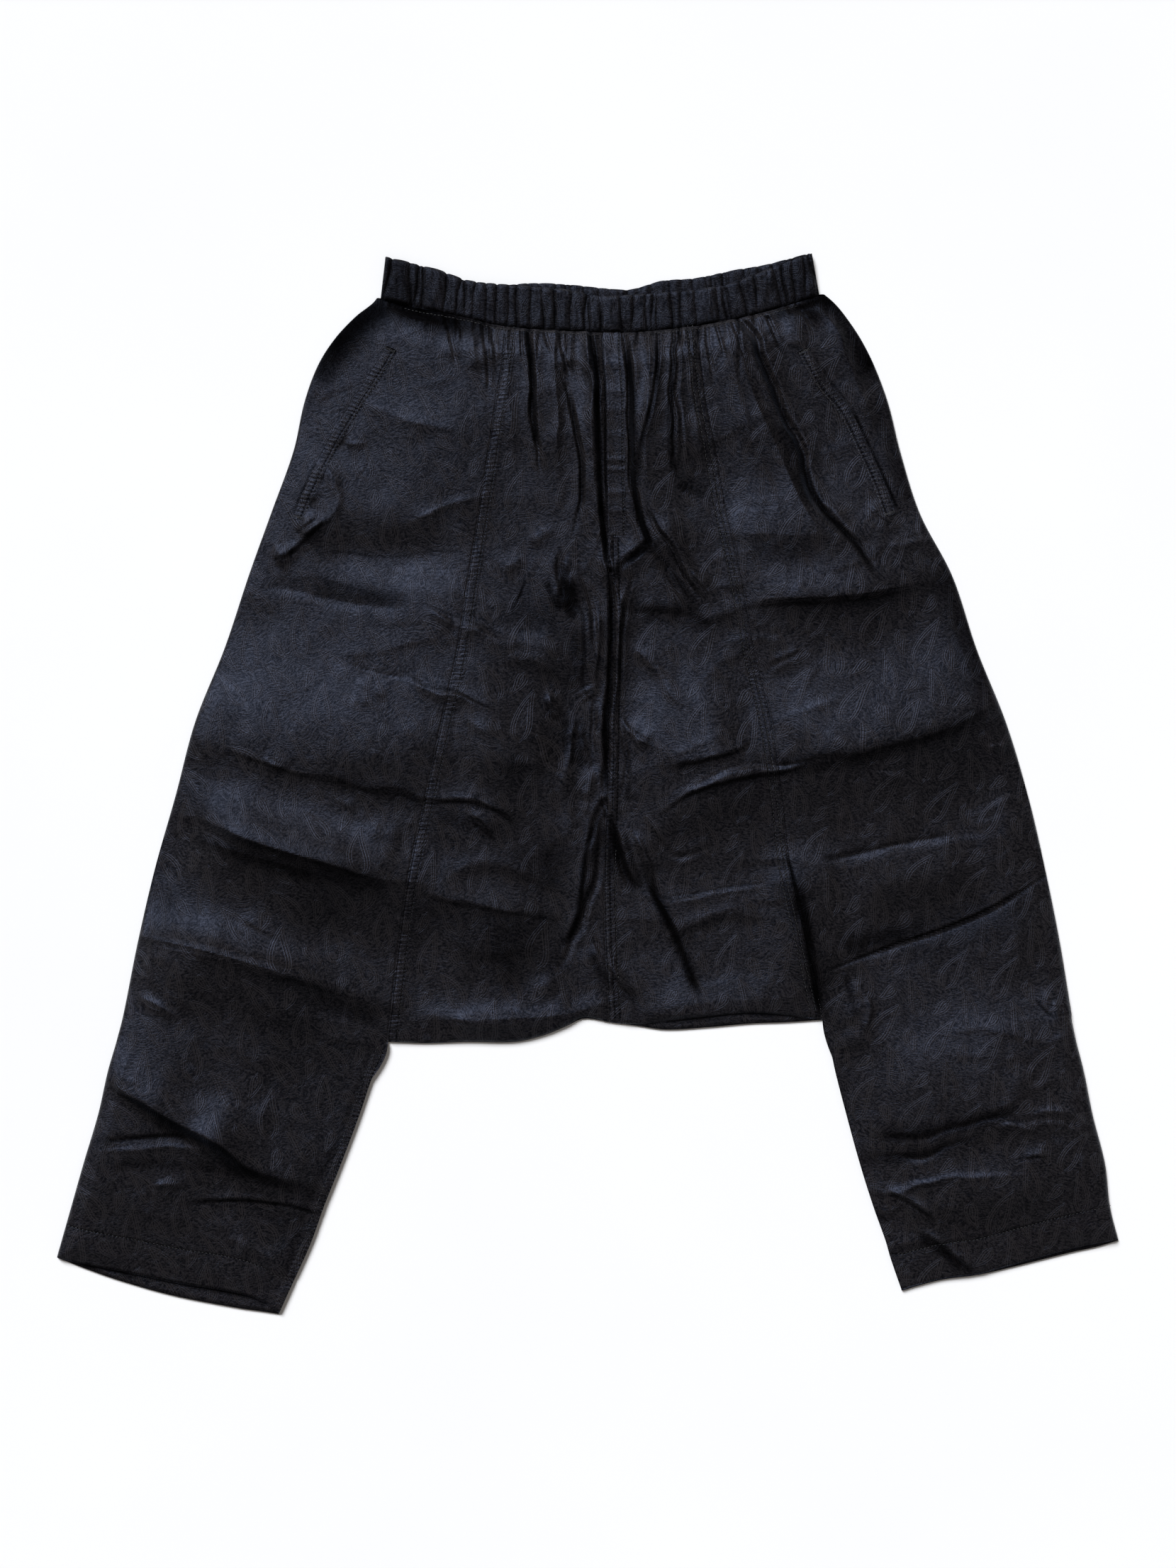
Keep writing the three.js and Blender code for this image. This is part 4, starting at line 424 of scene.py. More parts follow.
    (0.45, 1.3, [(-230.5, 186), (-201.6, 188.3), (-172.7, 184.9), (-149.6, 184.9), (-126.5, 188.9), (-94.7, 187.8)]),
    (0.4, 9, [(-216.1, 4), (-178.5, -5.2), (-143.9, -12.1), (-128.8, -16.8)]),
    (0.45, 5, [(127.7, 20.2), (168.1, 17.9), (195.8, 26), (212, 22.5), (236.3, 29.5), (277.3, 39.3), (309.7, 52.6), (329.9, 64.1)]),
    (0.35, 12, [(-155.4, -106.9), (-109.2, -110.3), (-63, -113.8), (-22.5, -117.3)]),
    (0.65, 2.6, [(73.9, 368), (69.9, 349.5), (67.6, 323.5), (66.4, 291.7), (68.2, 262.9), (73.4, 245.5)]),
    (0.4, 6, [(71.1, 244.4), (84.3, 242.1), (99.9, 238)]),
    (0.6, 2.4, [(53.2, 366.9), (56, 343.7), (57.2, 320.6), (50.3, 296.4), (42.8, 272.1), (40.4, 239.8)]),
    (0.55, 6, [(154.3, 294.1), (164.7, 269.8), (171.6, 245.5), (185.4, 223.6)]),
    (0.5, 2.4, [(146.7, 369.2), (154.3, 357.6), (162.3, 346.1)]),
]
SHARP = 1.12  # how pointed a narrow fold is; 2 is round


def table(rows, by, of):
    """A table read as a smooth curve through its rows."""
    order = np.argsort(rows[by])
    q = np.array(rows[by], float)[order]
    p = np.array(rows[of], float)[order]
    n = len(q)
    slope = np.array([(p[min(n - 1, i + 1)] - p[max(0, i - 1)]) / (q[min(n - 1, i + 1)] - q[max(0, i - 1)]) for i in range(n)])

    def at(x):
        x = np.clip(np.asarray(x, float), q[0], q[-1])
        i = np.clip(np.searchsorted(q, x, side="right") - 1, 0, n - 2)
        w = q[i + 1] - q[i]
        t = (x - q[i]) / w
        return (
            (2 * t**3 - 3 * t**2 + 1) * p[i]
            + (t**3 - 2 * t**2 + t) * w * slope[i]
            + (3 * t**2 - 2 * t**3) * p[i + 1]
            + (t**3 - t**2) * w * slope[i + 1]
        )

    return at


outerL, seamL, centre, seamR, outerR = (table(BODY, "y", k) for k in ("outerL", "seamL", "centre", "seamR", "outerR"))
legOuterL, legInnerL, legInnerR, legOuterR = (table(LEGS, "y", k) for k in ("outerL", "innerL", "innerR", "outerR"))
bandSeam = table(BAND, "x", "seam")
hemL = {k: table(HEM_LEFT, "x", k) for k in ("front", "back")}
hemR = {k: table(HEM_RIGHT, "x", k) for k in ("front", "back")}
crotchLine = {k: table(CROTCH, "x", k) for k in ("front", "back")}
pocketL, pocketR = table(POCKETS, "y", "left"), table(POCKETS, "y", "right")

TOP = dict(outerL=395.0, seamL=float(bandSeam(-66)), centre=float(bandSeam(12)), seamR=float(bandSeam(89)), outerR=399.0)
CROTCH_Y = dict(outerL=-205.0, seamL=-211.0, centre=-195.0, seamR=-193.0, outerR=-187.0)


def smooth(t):
    t = np.clip(t, 0, 1)
    return t * t * (3 - 2 * t)


def down(x_of, y0, y1, dx=0.0):
    def side(t):
        y = y0 + (y1 - y0) * t
        return np.stack([x_of(y) + dx, y], -1)

    return side


def across(y_of, x0, x1, dy=0.0):
    def side(t):
        x = x0 + (x1 - x0) * t
        return np.stack([x, y_of(x) + dy], -1)

    return side


def straight(a, b):
    a, b = np.array(a, float), np.array(b, float)
    return lambda t: a + (b - a) * np.asarray(t)[..., None]


def patch(left, right, top, bottom, u, v):
    """Points of a patch between four sides, at the grid of u and v."""
    U, V = np.meshgrid(u, v)
    U, V = U[..., None], V[..., None]
    a, b = left(v)[:, None], right(v)[:, None]
    c, d = top(u)[None], bottom(u)[None]
    tl, tr, bl, br = a[:1], b[:1], a[-1:], b[-1:]
    return (
        (1 - U) * a + U * b + (1 - V) * c + V * d
        - (1 - U) * (1 - V) * tl - U * (1 - V) * tr - (1 - U) * V * bl - U * V * br
    )


# ---------------------------------------------------------------- smooth random fields, seeded
def lattice_noise(X, Y, cell, seed):
    rng = np.random.default_rng(seed)
    n = int(1200 / cell) + 6
    g = rng.uniform(-1, 1, (n, n))
    fx, fy = (X + 600) / cell, (Y + 600) / cell
    i, j = np.floor(fx).astype(int), np.floor(fy).astype(int)
    tx, ty = smooth(fx - i), smooth(fy - j)
    i, j = np.clip(i, 0, n - 2), np.clip(j, 0, n - 2)
    return (g[i, j] * (1 - tx) + g[i + 1, j] * tx) * (1 - ty) + (g[i, j + 1] * (1 - tx) + g[i + 1, j + 1] * tx) * ty


def waves(X, Y, seed, short, long, n=26):
    """A smooth wandering field of unit spread, made of plane waves between two lengths."""
    r = np.random.default_rng(seed)
    z, total = np.zeros_like(X), 0.0
    for _ in range(n):
        length = short * (long / short) ** r.uniform()
        a, phase = r.uniform(0, 2 * math.pi), r.uniform(0, 2 * math.pi)
        k = 2 * math.pi / length
        z += length * np.sin(k * (X * math.cos(a) + Y * math.sin(a)) + phase)
        total += 0.5 * length**2
    return z / math.sqrt(total)


def spline(points, per=6):
    p = np.array(points, float)
    if len(p) < 3:
        return p
    e = np.vstack([2 * p[0] - p[1], p, 2 * p[-1] - p[-2]])
    out = []
    for k in range(1, len(e) - 2):
        t = np.linspace(0, 1, per, endpoint=False)[:, None]
        a, b, c, d = e[k - 1], e[k], e[k + 1], e[k + 2]
        out.append(0.5 * (2 * b + (c - a) * t + (2 * a - 5 * b + 4 * c - d) * t**2 + (3 * b - a - 3 * c + d) * t**3))
    out.append(p[-1:])
    return np.vstack(out)


def nearest_on(line, x, y):
    """Signed distance, left of travel positive, and the arc length, of points to a line."""
    best = np.full(x.shape, 1e9)
    side = np.zeros(x.shape)
    along = np.zeros(x.shape)
    run = 0.0
    for a, b in zip(line[:-1], line[1:]):
        d = b - a
        n = math.hypot(*d)
        if n < 1e-9:
            continue
        t = np.clip(((x - a[0]) * d[0] + (y - a[1]) * d[1]) / n**2, 0, 1)
        ex, ey = x - a[0] - t * d[0], y - a[1] - t * d[1]
        q = np.hypot(ex, ey)
        m = q < best
        best = np.where(m, q, best)
        side = np.where(m, np.sign(d[0] * ey - d[1] * ex), side)
        along = np.where(m, run + t * n, along)
        run += n
    return best * side, along, run


def across_chord(line, x, y):
    """Distance to a gently bent line, measured square to its chord; left of travel positive. Smooth at any distance."""
    a, b = line[0], line[-1]
    d = b - a
    n = math.hypot(*d)
    t = d / n
    la = ((line - a) @ t) / n
    lb = (line - a) @ np.array([-t[1], t[0]])
    order = np.argsort(la)
    u = ((x - a[0]) * t[0] + (y - a[1]) * t[1]) / n
    v = -(x - a[0]) * t[1] + (y - a[1]) * t[0]
    fine = np.linspace(0, 1, 121)
    soft = np.interp(fine, la[order], lb[order])
    soft = np.convolve(np.pad(soft, 9, mode="edge"), np.ones(19) / 19, "valid")
    return v - np.interp(u, fine, soft), np.clip(u, 0, 1), np.clip(np.maximum(-u, u - 1), 0, None) * n


def outline_front():
    t = lambda n: np.linspace(0, 1, n)
    return [
        down(outerL, TOP["outerL"] + 30, CROTCH_Y["outerL"])(t(40)),
        down(legOuterL, CROTCH_Y["outerL"], -387)(t(12)),
        across(hemL["front"], -433, -252)(t(16)),
        down(legInnerL, -432, CROTCH_Y["seamL"])(t(14)),
        across(crotchLine["front"], -163, 192)(t(30)),
        down(legInnerR, CROTCH_Y["seamR"], -413)(t(14)),
        across(hemR["front"], 257, 433)(t(16)),
        down(legOuterR, -373, CROTCH_Y["outerR"])(t(12)),
        down(outerR, CROTCH_Y["outerR"], TOP["outerR"] + 30)(t(40)),
    ]


OUTLINE = np.vstack(outline_front())

# Short gathers along the waist seam, uneven in place, length and depth
rng = np.random.default_rng(11)
GATHERS = []
x = -160.0
while x < 184:
    busy = 1.0 if -75 < x < 125 else 0.7
    length = (rng.uniform(10, 26) if rng.uniform() < 0.6 else rng.uniform(28, 62)) * busy
    slant = rng.uniform(-0.12, 0.12) + 0.0009 * (x - 10)
    GATHERS.append((x, length, slant, rng.uniform(1.1, 2.7) * busy, rng.uniform(1.3, 2.3)))
    x += (rng.uniform(4.5, 8) if rng.uniform() < 0.3 else rng.uniform(9, 21)) / (0.75 + 0.25 * busy)

# Small random creases all over, such as thin cloth keeps from being folded away
SMALL = []
for _ in range(420):
    cx, cy = rng.uniform(-420, 420), rng.uniform(-420, 380)
    a = rng.normal(0.0, 0.55) + (0.0 if rng.uniform() < 0.75 else 1.3)
    n = rng.uniform(6, 26)
    bend = rng.uniform(-0.25, 0.25) * n
    dx, dy = math.cos(a) * n, math.sin(a) * n
    SMALL.append(("small", rng.uniform(0.15, 0.6), rng.uniform(2.5, 8), rng.uniform(1.5, 4), 0, rng.uniform(0, 0.3), 1.2, 0, 0,
                  [(cx - dx, cy - dy), (cx - dy / n * bend, cy + dx / n * bend), (cx + dx, cy + dy)]))


# Longer soft creases of the same kind as the ones above, between them: they fall to the inside of each leg
for _ in range(95):
    cx, cy = rng.uniform(-410, 410), rng.uniform(-410, 330)
    a = -0.26 * math.copysign(min(1, abs(cx - 15) / 90), 15 - cx) * (1 if cx > 15 else 1) + rng.normal(0, 0.22)
    if abs(cx - 15) < 90 and cy > 60:
        a += 1.35
    n = rng.uniform(16, 58)
    bend = rng.uniform(-0.22, 0.22) * n
    dx, dy = math.cos(a) * n, math.sin(a) * n
    h = rng.uniform(0.5, 1.5)
    wl, wr = (rng.uniform(8, 17), rng.uniform(2.5, 5)) if rng.uniform() < 0.6 else (rng.uniform(2.5, 5), rng.uniform(8, 17))
    SMALL.append(("soft", h, wl, wr, 0, 0.12 * h, 1.6, 0, 0,
                  [(cx - dx, cy - dy), (cx - 0.3 * dx - dy / n * bend, cy - 0.3 * dy + dx / n * bend), (cx + 0.4 * dx - dy / n * bend * 0.7, cy + 0.4 * dy + dx / n * bend * 0.7), (cx + dx, cy + dy)]))


def add_folds(z, X, Y, folds, wide_part=1.0):
    for k, (name, h, wl, wr, o, t, tw, e0, e1, points) in enumerate(folds):
        line = spline(points)
        pad = max(2.8 * w if w > 20 else 4.8 * w for w in (wl, wr)) + abs(o)
        lo, hi = line.min(0) - pad, line.max(0) + pad
        m = (X > lo[0]) & (X < hi[0]) & (Y > lo[1]) & (Y < hi[1])
        if not m.any():
            continue
        if max(wl, wr) >= 20:
            h = h * wide_part
            d, s, out = across_chord(line, X[m], Y[m])
            full = (e0 + (1 - e0) * smooth(s / 0.32)) * (e1 + (1 - e1) * smooth((1 - s) / 0.38))
            full = full * np.exp(-((out / (0.5 * max(wl, wr))) ** 2))
        else:
            d, s, total = nearest_on(line, X[m], Y[m])
            s = s / total
            full = (e0 + (1 - e0) * smooth(s / 0.32)) * (e1 + (1 - e1) * smooth((1 - s) / 0.38))
            full = full * (1 + 0.2 * np.sin(s * (5 + k % 4) + k) + 0.14 * np.sin(s * 17 + 2 * k))
        q = d - o
        near, far = (wl, wr) if wl < wr else (wr, wl)
        if near < 20 and near < 0.9 * far:
            near = 0.7 * near
        w = np.where((q > 0) == (wl < wr), near, far)
        crest = np.exp(-(np.abs(q / w) ** np.where(w > 20, 2.0, SHARP)))
        z[m] += full * (h * crest - t * np.exp(-np.abs(d / tw) ** 2.6))
    return z


def gather_at(x, ds, gx, n, slant):
    bow = 2.2 * np.sin(ds / (0.9 * n) + gx)
    return x - gx - slant * ds - bow * ds / (ds + 20)


def painted_shade_of(X, Y):
    """How much painted shade darkens a place, inside a fold or in the soft shade beside one, 0 to 1."""
    x, y = X.ravel(), Y.ravel()
    out = np.zeros_like(x)
    ds = bandSeam(x) - y
    m = np.where((ds < 105) & (x > -175) & (x < 200))[0]
    # painted shade in the clefts of the gathers below the waist seam
    for gx, n, slant, h, w in GATHERS:
        part = 0.56 * h * np.exp(-np.clip(ds[m], 0, None) / n * 1.9) * smooth(1.5 - ds[m] / n)
        part = part * np.exp(-np.abs(gather_at(x[m], ds[m], gx, n, slant) / (0.8 * w)) ** 2)
        out[m] = 1 - (1 - out[m]) * (1 - np.clip(part, 0, 0.9))
    for k, (strength, wide, points) in enumerate(PAINTED_SHADE):
        line = spline(points)
        lo, hi = line.min(0) - 2 * wide, line.max(0) + 2 * wide
        m = np.where((x > lo[0]) & (x < hi[0]) & (y > lo[1]) & (y < hi[1]))[0]
        if not len(m):
            continue
        d, s, total = nearest_on(line, x[m], y[m])
        s = s / total
        full = smooth(s / 0.18 + 0.15) * smooth((1 - s) / 0.18 + 0.15) * (1 + 0.12 * np.sin(s * 9 + k))
        part = strength * full * np.exp(-np.abs(d / wide) ** (3.4 if wide < 8 else 2.0))
        out[m] = 1 - (1 - out[m]) * (1 - np.clip(part, 0, 0.97))
    return out.reshape(X.shape)


def soft_ground(X, Y):
    return 0.30 * waves(X, Y, 3, 60, 190) + 0.08 * waves(X, Y, 4, 26, 60) + 0.03 * waves(X, Y, 5, 11, 24)


def broad_relief(X, Y):
    """The wide swells alone at full height, for the bump that strengthens them."""
    x, y = X.ravel(), Y.ravel()
    z = add_folds(np.zeros_like(x), x, y, [f for f in FOLDS if max(f[2], f[3]) >= 20])
    z += 0.16 * waves(x, y, 3, 60, 190) + 0.06 * waves(x, y, 4, 26, 60)
    return z.reshape(X.shape)


def front_height(X, Y):
    """Top of the front cloth, millimetres above the surface, before its seams and edges."""
    X, Y = np.asarray(X, float), np.asarray(Y, float)
    shape = X.shape
    X, Y = X.ravel(), Y.ravel()
    d_edge = np.abs(nearest_on(OUTLINE, X, Y)[0])
    settle = 1 - np.exp(-3 * (d_edge / LOFT_REACH) ** 2)
    z = np.zeros_like(X)
    wx = X + 1.9 * lattice_noise(X, Y, 23, 41) + 0.8 * lattice_noise(X, Y, 10, 42)
    wy = Y + 1.9 * lattice_noise(X, Y, 23, 43) + 0.8 * lattice_noise(X, Y, 10, 44)
    z = add_folds(z, wx, wy, FOLDS, 0.62)
    z = add_folds(z, wx, wy, SMALL)
    z += soft_ground(X, Y)
    # gathers
    depth = bandSeam(X) - Y
    near = depth < 105
    xs, ds = X[near], depth[near]
    g = np.zeros_like(xs)
    for gx, n, slant, h, w in GATHERS:
        q = gather_at(xs, ds, gx, n, slant)
        fade = np.exp(-np.clip(ds, 0, None) / n * 1.4) * smooth(1.6 - ds / n)
        g += fade * (1.2 * h * np.exp(-np.abs(q / (2.6 + 1.6 * w)) ** 1.4) - 1.7 * h * np.exp(-np.abs(q / w) ** 2.0))
    z[near] += g
    z = LOFT * settle + z * np.clip(0.22 + d_edge / 16, 0, 1)
    # the doubled cloth of the hems
    for hem, lo, hi in ((hemL["front"], -440, -225), (hemR["front"], 235, 440)):
        m = (X > lo) & (X < hi) & (Y < -330)
        up = (Y[m] - hem(X[m])) * 0.975
        z[m] -= 0.5 * np.exp(-(((up - HEM_DEPTH) / np.where(up > HEM_DEPTH, 0.9, 5.0)) ** 2))
    z = z + CLOTH + GAP + CLOTH
    low = LOWEST_FRONT
    z = low + 0.5 * ((z - low) + np.sqrt((z - low) ** 2 + 0.35**2))
    return z.reshape(shape)


# ---------------------------------------------------------------- stitched lines
def sample(side, n):
    return side(np.linspace(0, 1, n))


SEAM_LEFT = sample(down(seamL, TOP["seamL"] - 1, CROTCH_Y["seamL"]), 60)
SEAM_RIGHT = sample(down(seamR, TOP["seamR"] - 1, CROTCH_Y["seamR"]), 60)
SEAM_CENTRE = sample(down(centre, FLY_FOOT, CROTCH_Y["centre"]), 40)
INSEAM_LEFT = sample(down(lambda y: legInnerL(y) - 7.5, -214, -428), 26)


def offset(line, by):
    """The line moved to the left of its travel by a distance."""
    t = np.gradient(line, axis=0)
    t /= np.linalg.norm(t, axis=1)[:, None]
    return line + by * np.stack([-t[:, 1], t[:, 0]], 1)


# ---------------------------------------------------------------- mesh making
def new_mesh(name, verts, faces, mat, uv=None, attrs=None, smooth_shade=True):
    """verts (n, 3) in millimetres; faces a list of (m, k) index arrays of one size each."""
    me = bpy.data.meshes.new(name)
    verts = np.asarray(verts, float) * MM
    me.vertices.add(len(verts))
    me.vertices.foreach_set("co", verts.ravel())
    faces = [np.asarray(f, np.int32) for f in faces if len(f)]
    sizes = np.concatenate([np.full(len(f), f.shape[1], np.int32) for f in faces])
    loops = np.concatenate([f.ravel() for f in faces])
    starts = np.concatenate([[0], np.cumsum(sizes)[:-1]]).astype(np.int32)
    me.loops.add(len(loops))
    me.loops.foreach_set("vertex_index", loops)
    me.polygons.add(len(sizes))
    me.polygons.foreach_set("loop_start", starts)
    me.polygons.foreach_set("use_smooth", np.full(len(sizes), smooth_shade))
    me.update(calc_edges=True)
    if uv is not None:
        layer = me.uv_layers.new(name="Cloth")
        layer.uv.foreach_set("vector", (np.asarray(uv, float) * MM)[loops].ravel())
    for key, values in (attrs or {}).items():
        a = me.attributes.new(key, "FLOAT", "POINT")
        a.data.foreach_set("value", np.asarray(values, np.float32))
    me.validate()
    ob = bpy.data.objects.new(name, me)
    bpy.context.scene.collection.objects.link(ob)
    if mat is not None:
        me.materials.append(mat)
    return ob


def grid_faces(m, n, base=0, flip=False):
    i, j = np.meshgrid(np.arange(n - 1), np.arange(m - 1))
    a = (base + j * n + i).ravel()
    quads = np.stack([a, a + n, a + n + 1, a + 1], 1)
    return quads[:, ::-1] if flip else quads


def ring_of(m, n):
    """Boundary of an m by n grid, counter-clockwise seen from above when rows run down and columns right."""
    return np.concatenate([
        np.arange(0, m - 1) * n,
        (m - 1) * n + np.arange(0, n - 1),
        np.arange(m - 1, 0, -1) * n + n - 1,
        np.arange(n - 1, 0, -1),
    ])


def inward(P):
    """For each boundary point, the unit direction into the grid."""
    m, n = P.shape[:2]
    d = np.zeros((m, n, 2))
    d[:, 0] += P[:, 1] - P[:, 0]
    d[:, -1] += P[:, -2] - P[:, -1]
    d[0] += (P[1] - P[0]) * (np.linalg.norm(P[:1, 1] - P[:1, 0]) / max(1e-6, np.linalg.norm(P[1, 0] - P[0, 0])))
    d[-1] += P[-2] - P[-1]
    k = ring_of(m, n)
    v = d.reshape(-1, 2)[k]
    return v / np.maximum(np.linalg.norm(v, axis=1), 1e-9)[:, None]


def edge_gap(P):
    """Distance of each grid point to the four sides, along its own row or column: left, right, top, bottom."""
    return (
        np.linalg.norm(P - P[:, :1], axis=-1),
        np.linalg.norm(P - P[:, -1:], axis=-1),
        np.linalg.norm(P - P[:1], axis=-1),
        np.linalg.norm(P - P[-1:], axis=-1),
    )


def roll(z, gap, radius, low):
    """Rounds a surface down to a height at an edge."""
    t = np.clip(1 - gap / radius, 0, 1)
    g = 1 - np.sqrt(np.clip(1 - t * t, 0, 1))
    return z + (np.minimum(low, z) - z) * g


def shell(name, P, z, under, tuck, mat, attrs, uv):
    """A sheet over the grid P with its edges turned down and under."""
    m, n = z.shape
    flat = P.reshape(-1, 2)
    top = np.column_stack([flat, z.ravel()])
    ring = ring_of(m, n)
    w = inward(P)
    edge = flat[ring]
    rings = [
        np.column_stack([edge - 0.05 * w, np.minimum(z.ravel()[ring] - 0.05, (z.ravel()[ring] + under) / 2)]),
        np.column_stack([edge + 0.25 * w, np.full(len(ring), under)]),
        np.column_stack([edge + tuck * w, np.full(len(ring), under)]),
    ]
    verts = np.vstack([top] + rings)
    faces = [grid_faces(m, n)]
    last = ring
    base = m * n
    r = len(ring)
    for _ in rings:
        now = base + np.arange(r)
        faces.append(np.stack([last, now, np.roll(now, -1), np.roll(last, -1)], 1)[:, ::-1])
        last = now
        base += r
    full = {k: np.concatenate([v.ravel()] + [v.ravel()[ring]] * 3) for k, v in attrs.items()}
    uvs = np.vstack([uv.reshape(-1, 2)] + [uv.reshape(-1, 2)[ring]] * 3)
    return new_mesh(name, verts, faces, mat, uvs, full)


def spin(P, degrees, about=(0.0, 0.0)):
    a = math.radians(degrees)
    q = P - np.array(about)
    return np.stack([q[..., 0] * math.cos(a) - q[..., 1] * math.sin(a), q[..., 0] * math.sin(a) + q[..., 1] * math.cos(a)], -1)


# ---------------------------------------------------------------- materials
class Nodes:
    def __init__(self, name):
        self.mat = bpy.data.materials.new(name)
        self.mat.use_nodes = True
        self.nt = self.mat.node_tree
        self.nt.nodes.clear()
        self.out = self.nt.nodes.new("ShaderNodeOutputMaterial")
        self.bsdf = self.nt.nodes.new("ShaderNodeBsdfPrincipled")
        self.nt.links.new(self.bsdf.outputs[0], self.out.inputs[0])

    def put(self, socket, value):
        if isinstance(value, bpy.types.NodeSocket):
            self.nt.links.new(value, socket)
        elif value is not None:
            socket.default_value = value

    def math(self, op, a, b=None, c=None, clamp=False):
        n = self.nt.nodes.new("ShaderNodeMath")
        n.operation = op
        n.use_clamp = clamp
        for s, v in zip(n.inputs, (a, b, c)):
            self.put(s, v)
        return n.outputs[0]

    def noise(self, vector, scale, detail=2.0, rough=0.5, distortion=0.0):
        n = self.nt.nodes.new("ShaderNodeTexNoise")
        self.put(n.inputs["Vector"], vector)
        n.inputs["Scale"].default_value = scale
        n.inputs["Detail"].default_value = detail
        n.inputs["Roughness"].default_value = rough
        n.inputs["Distortion"].default_value = distortion
        return n.outputs["Fac"]

    def ramp(self, value, lo, hi, a=0.0, b=1.0):
        n = self.nt.nodes.new("ShaderNodeMapRange")
        n.interpolation_type = "SMOOTHSTEP"
        self.put(n.inputs["Value"], value)
        for key, v in (("From Min", lo), ("From Max", hi), ("To Min", a), ("To Max", b)):
            n.inputs[key].default_value = v
        return n.outputs["Result"]

    def mix(self, fac, a, b):
        n = self.nt.nodes.new("ShaderNodeMix")
        n.data_type = "RGBA"
        self.put(n.inputs[0], fac)
        self.put(n.inputs[6], a)
        self.put(n.inputs[7], b)
        return n.outputs[2]

    def combine(self, x, y, z=0.0):
        n = self.nt.nodes.new("ShaderNodeCombineXYZ")
        for s, v in zip(n.inputs, (x, y, z)):
            self.put(s, v)
        return n.outputs[0]

    def attr(self, name):
        n = self.nt.nodes.new("ShaderNodeAttribute")
        n.attribute_name = name
        return n.outputs["Fac"]

    def bump(self, height, distance, strength=1.0, normal=None):
        n = self.nt.nodes.new("ShaderNodeBump")
        n.inputs["Strength"].default_value = strength
        n.inputs["Distance"].default_value = distance
        self.put(n.inputs["Height"], height)
        self.put(n.inputs["Normal"], normal)
        return n.outputs[0]


def boteh(g, u, v, wide, high, lean, turn):
    """Lines of a paisley drop in its own cell, in metres from its middle: 1 on the lines. Also 1 inside the drop."""
    c, s = math.cos(turn), math.sin(turn)
    x = g.math("SUBTRACT", g.math("MULTIPLY", u, c), g.math("MULTIPLY", v, s))
    y = g.math("ADD", g.math("MULTIPLY", u, s), g.math("MULTIPLY", v, c))
    t = g.math("DIVIDE", g.math("ADD", y, high * 0.42), high)
    tc = g.math("MINIMUM", g.math("MAXIMUM", t, 0.001), 0.999)
    xc = g.math("MULTIPLY", g.math("POWER", tc, 3.0), lean)
    w = g.math("MULTIPLY", g.math("MULTIPLY", g.math("POWER", tc, 0.5), g.math("POWER", g.math("SUBTRACT", 1.0, tc), 1.15)), wide * 2.8)
    far = g.math("ABSOLUTE", g.math("SUBTRACT", x, xc))
    past = g.math("MULTIPLY", g.math("ABSOLUTE", g.math("SUBTRACT", t, tc)), high)
    d = g.math("SUBTRACT", g.math("ADD", far, past), w)
    lines = None
    for level, width in ((0.0, 0.00042), (-0.0019, 0.00032), (0.0017, 0.0003)):
        q = g.math("ABSOLUTE", g.math("SUBTRACT", d, level))
        one = g.ramp(q, width * 0.5, width * 1.7, 1.0, 0.0)
        lines = one if lines is None else g.math("MAXIMUM", lines, one)
    inside = g.ramp(d, -0.0006, 0.0006, 1.0, 0.0)
    return lines, inside


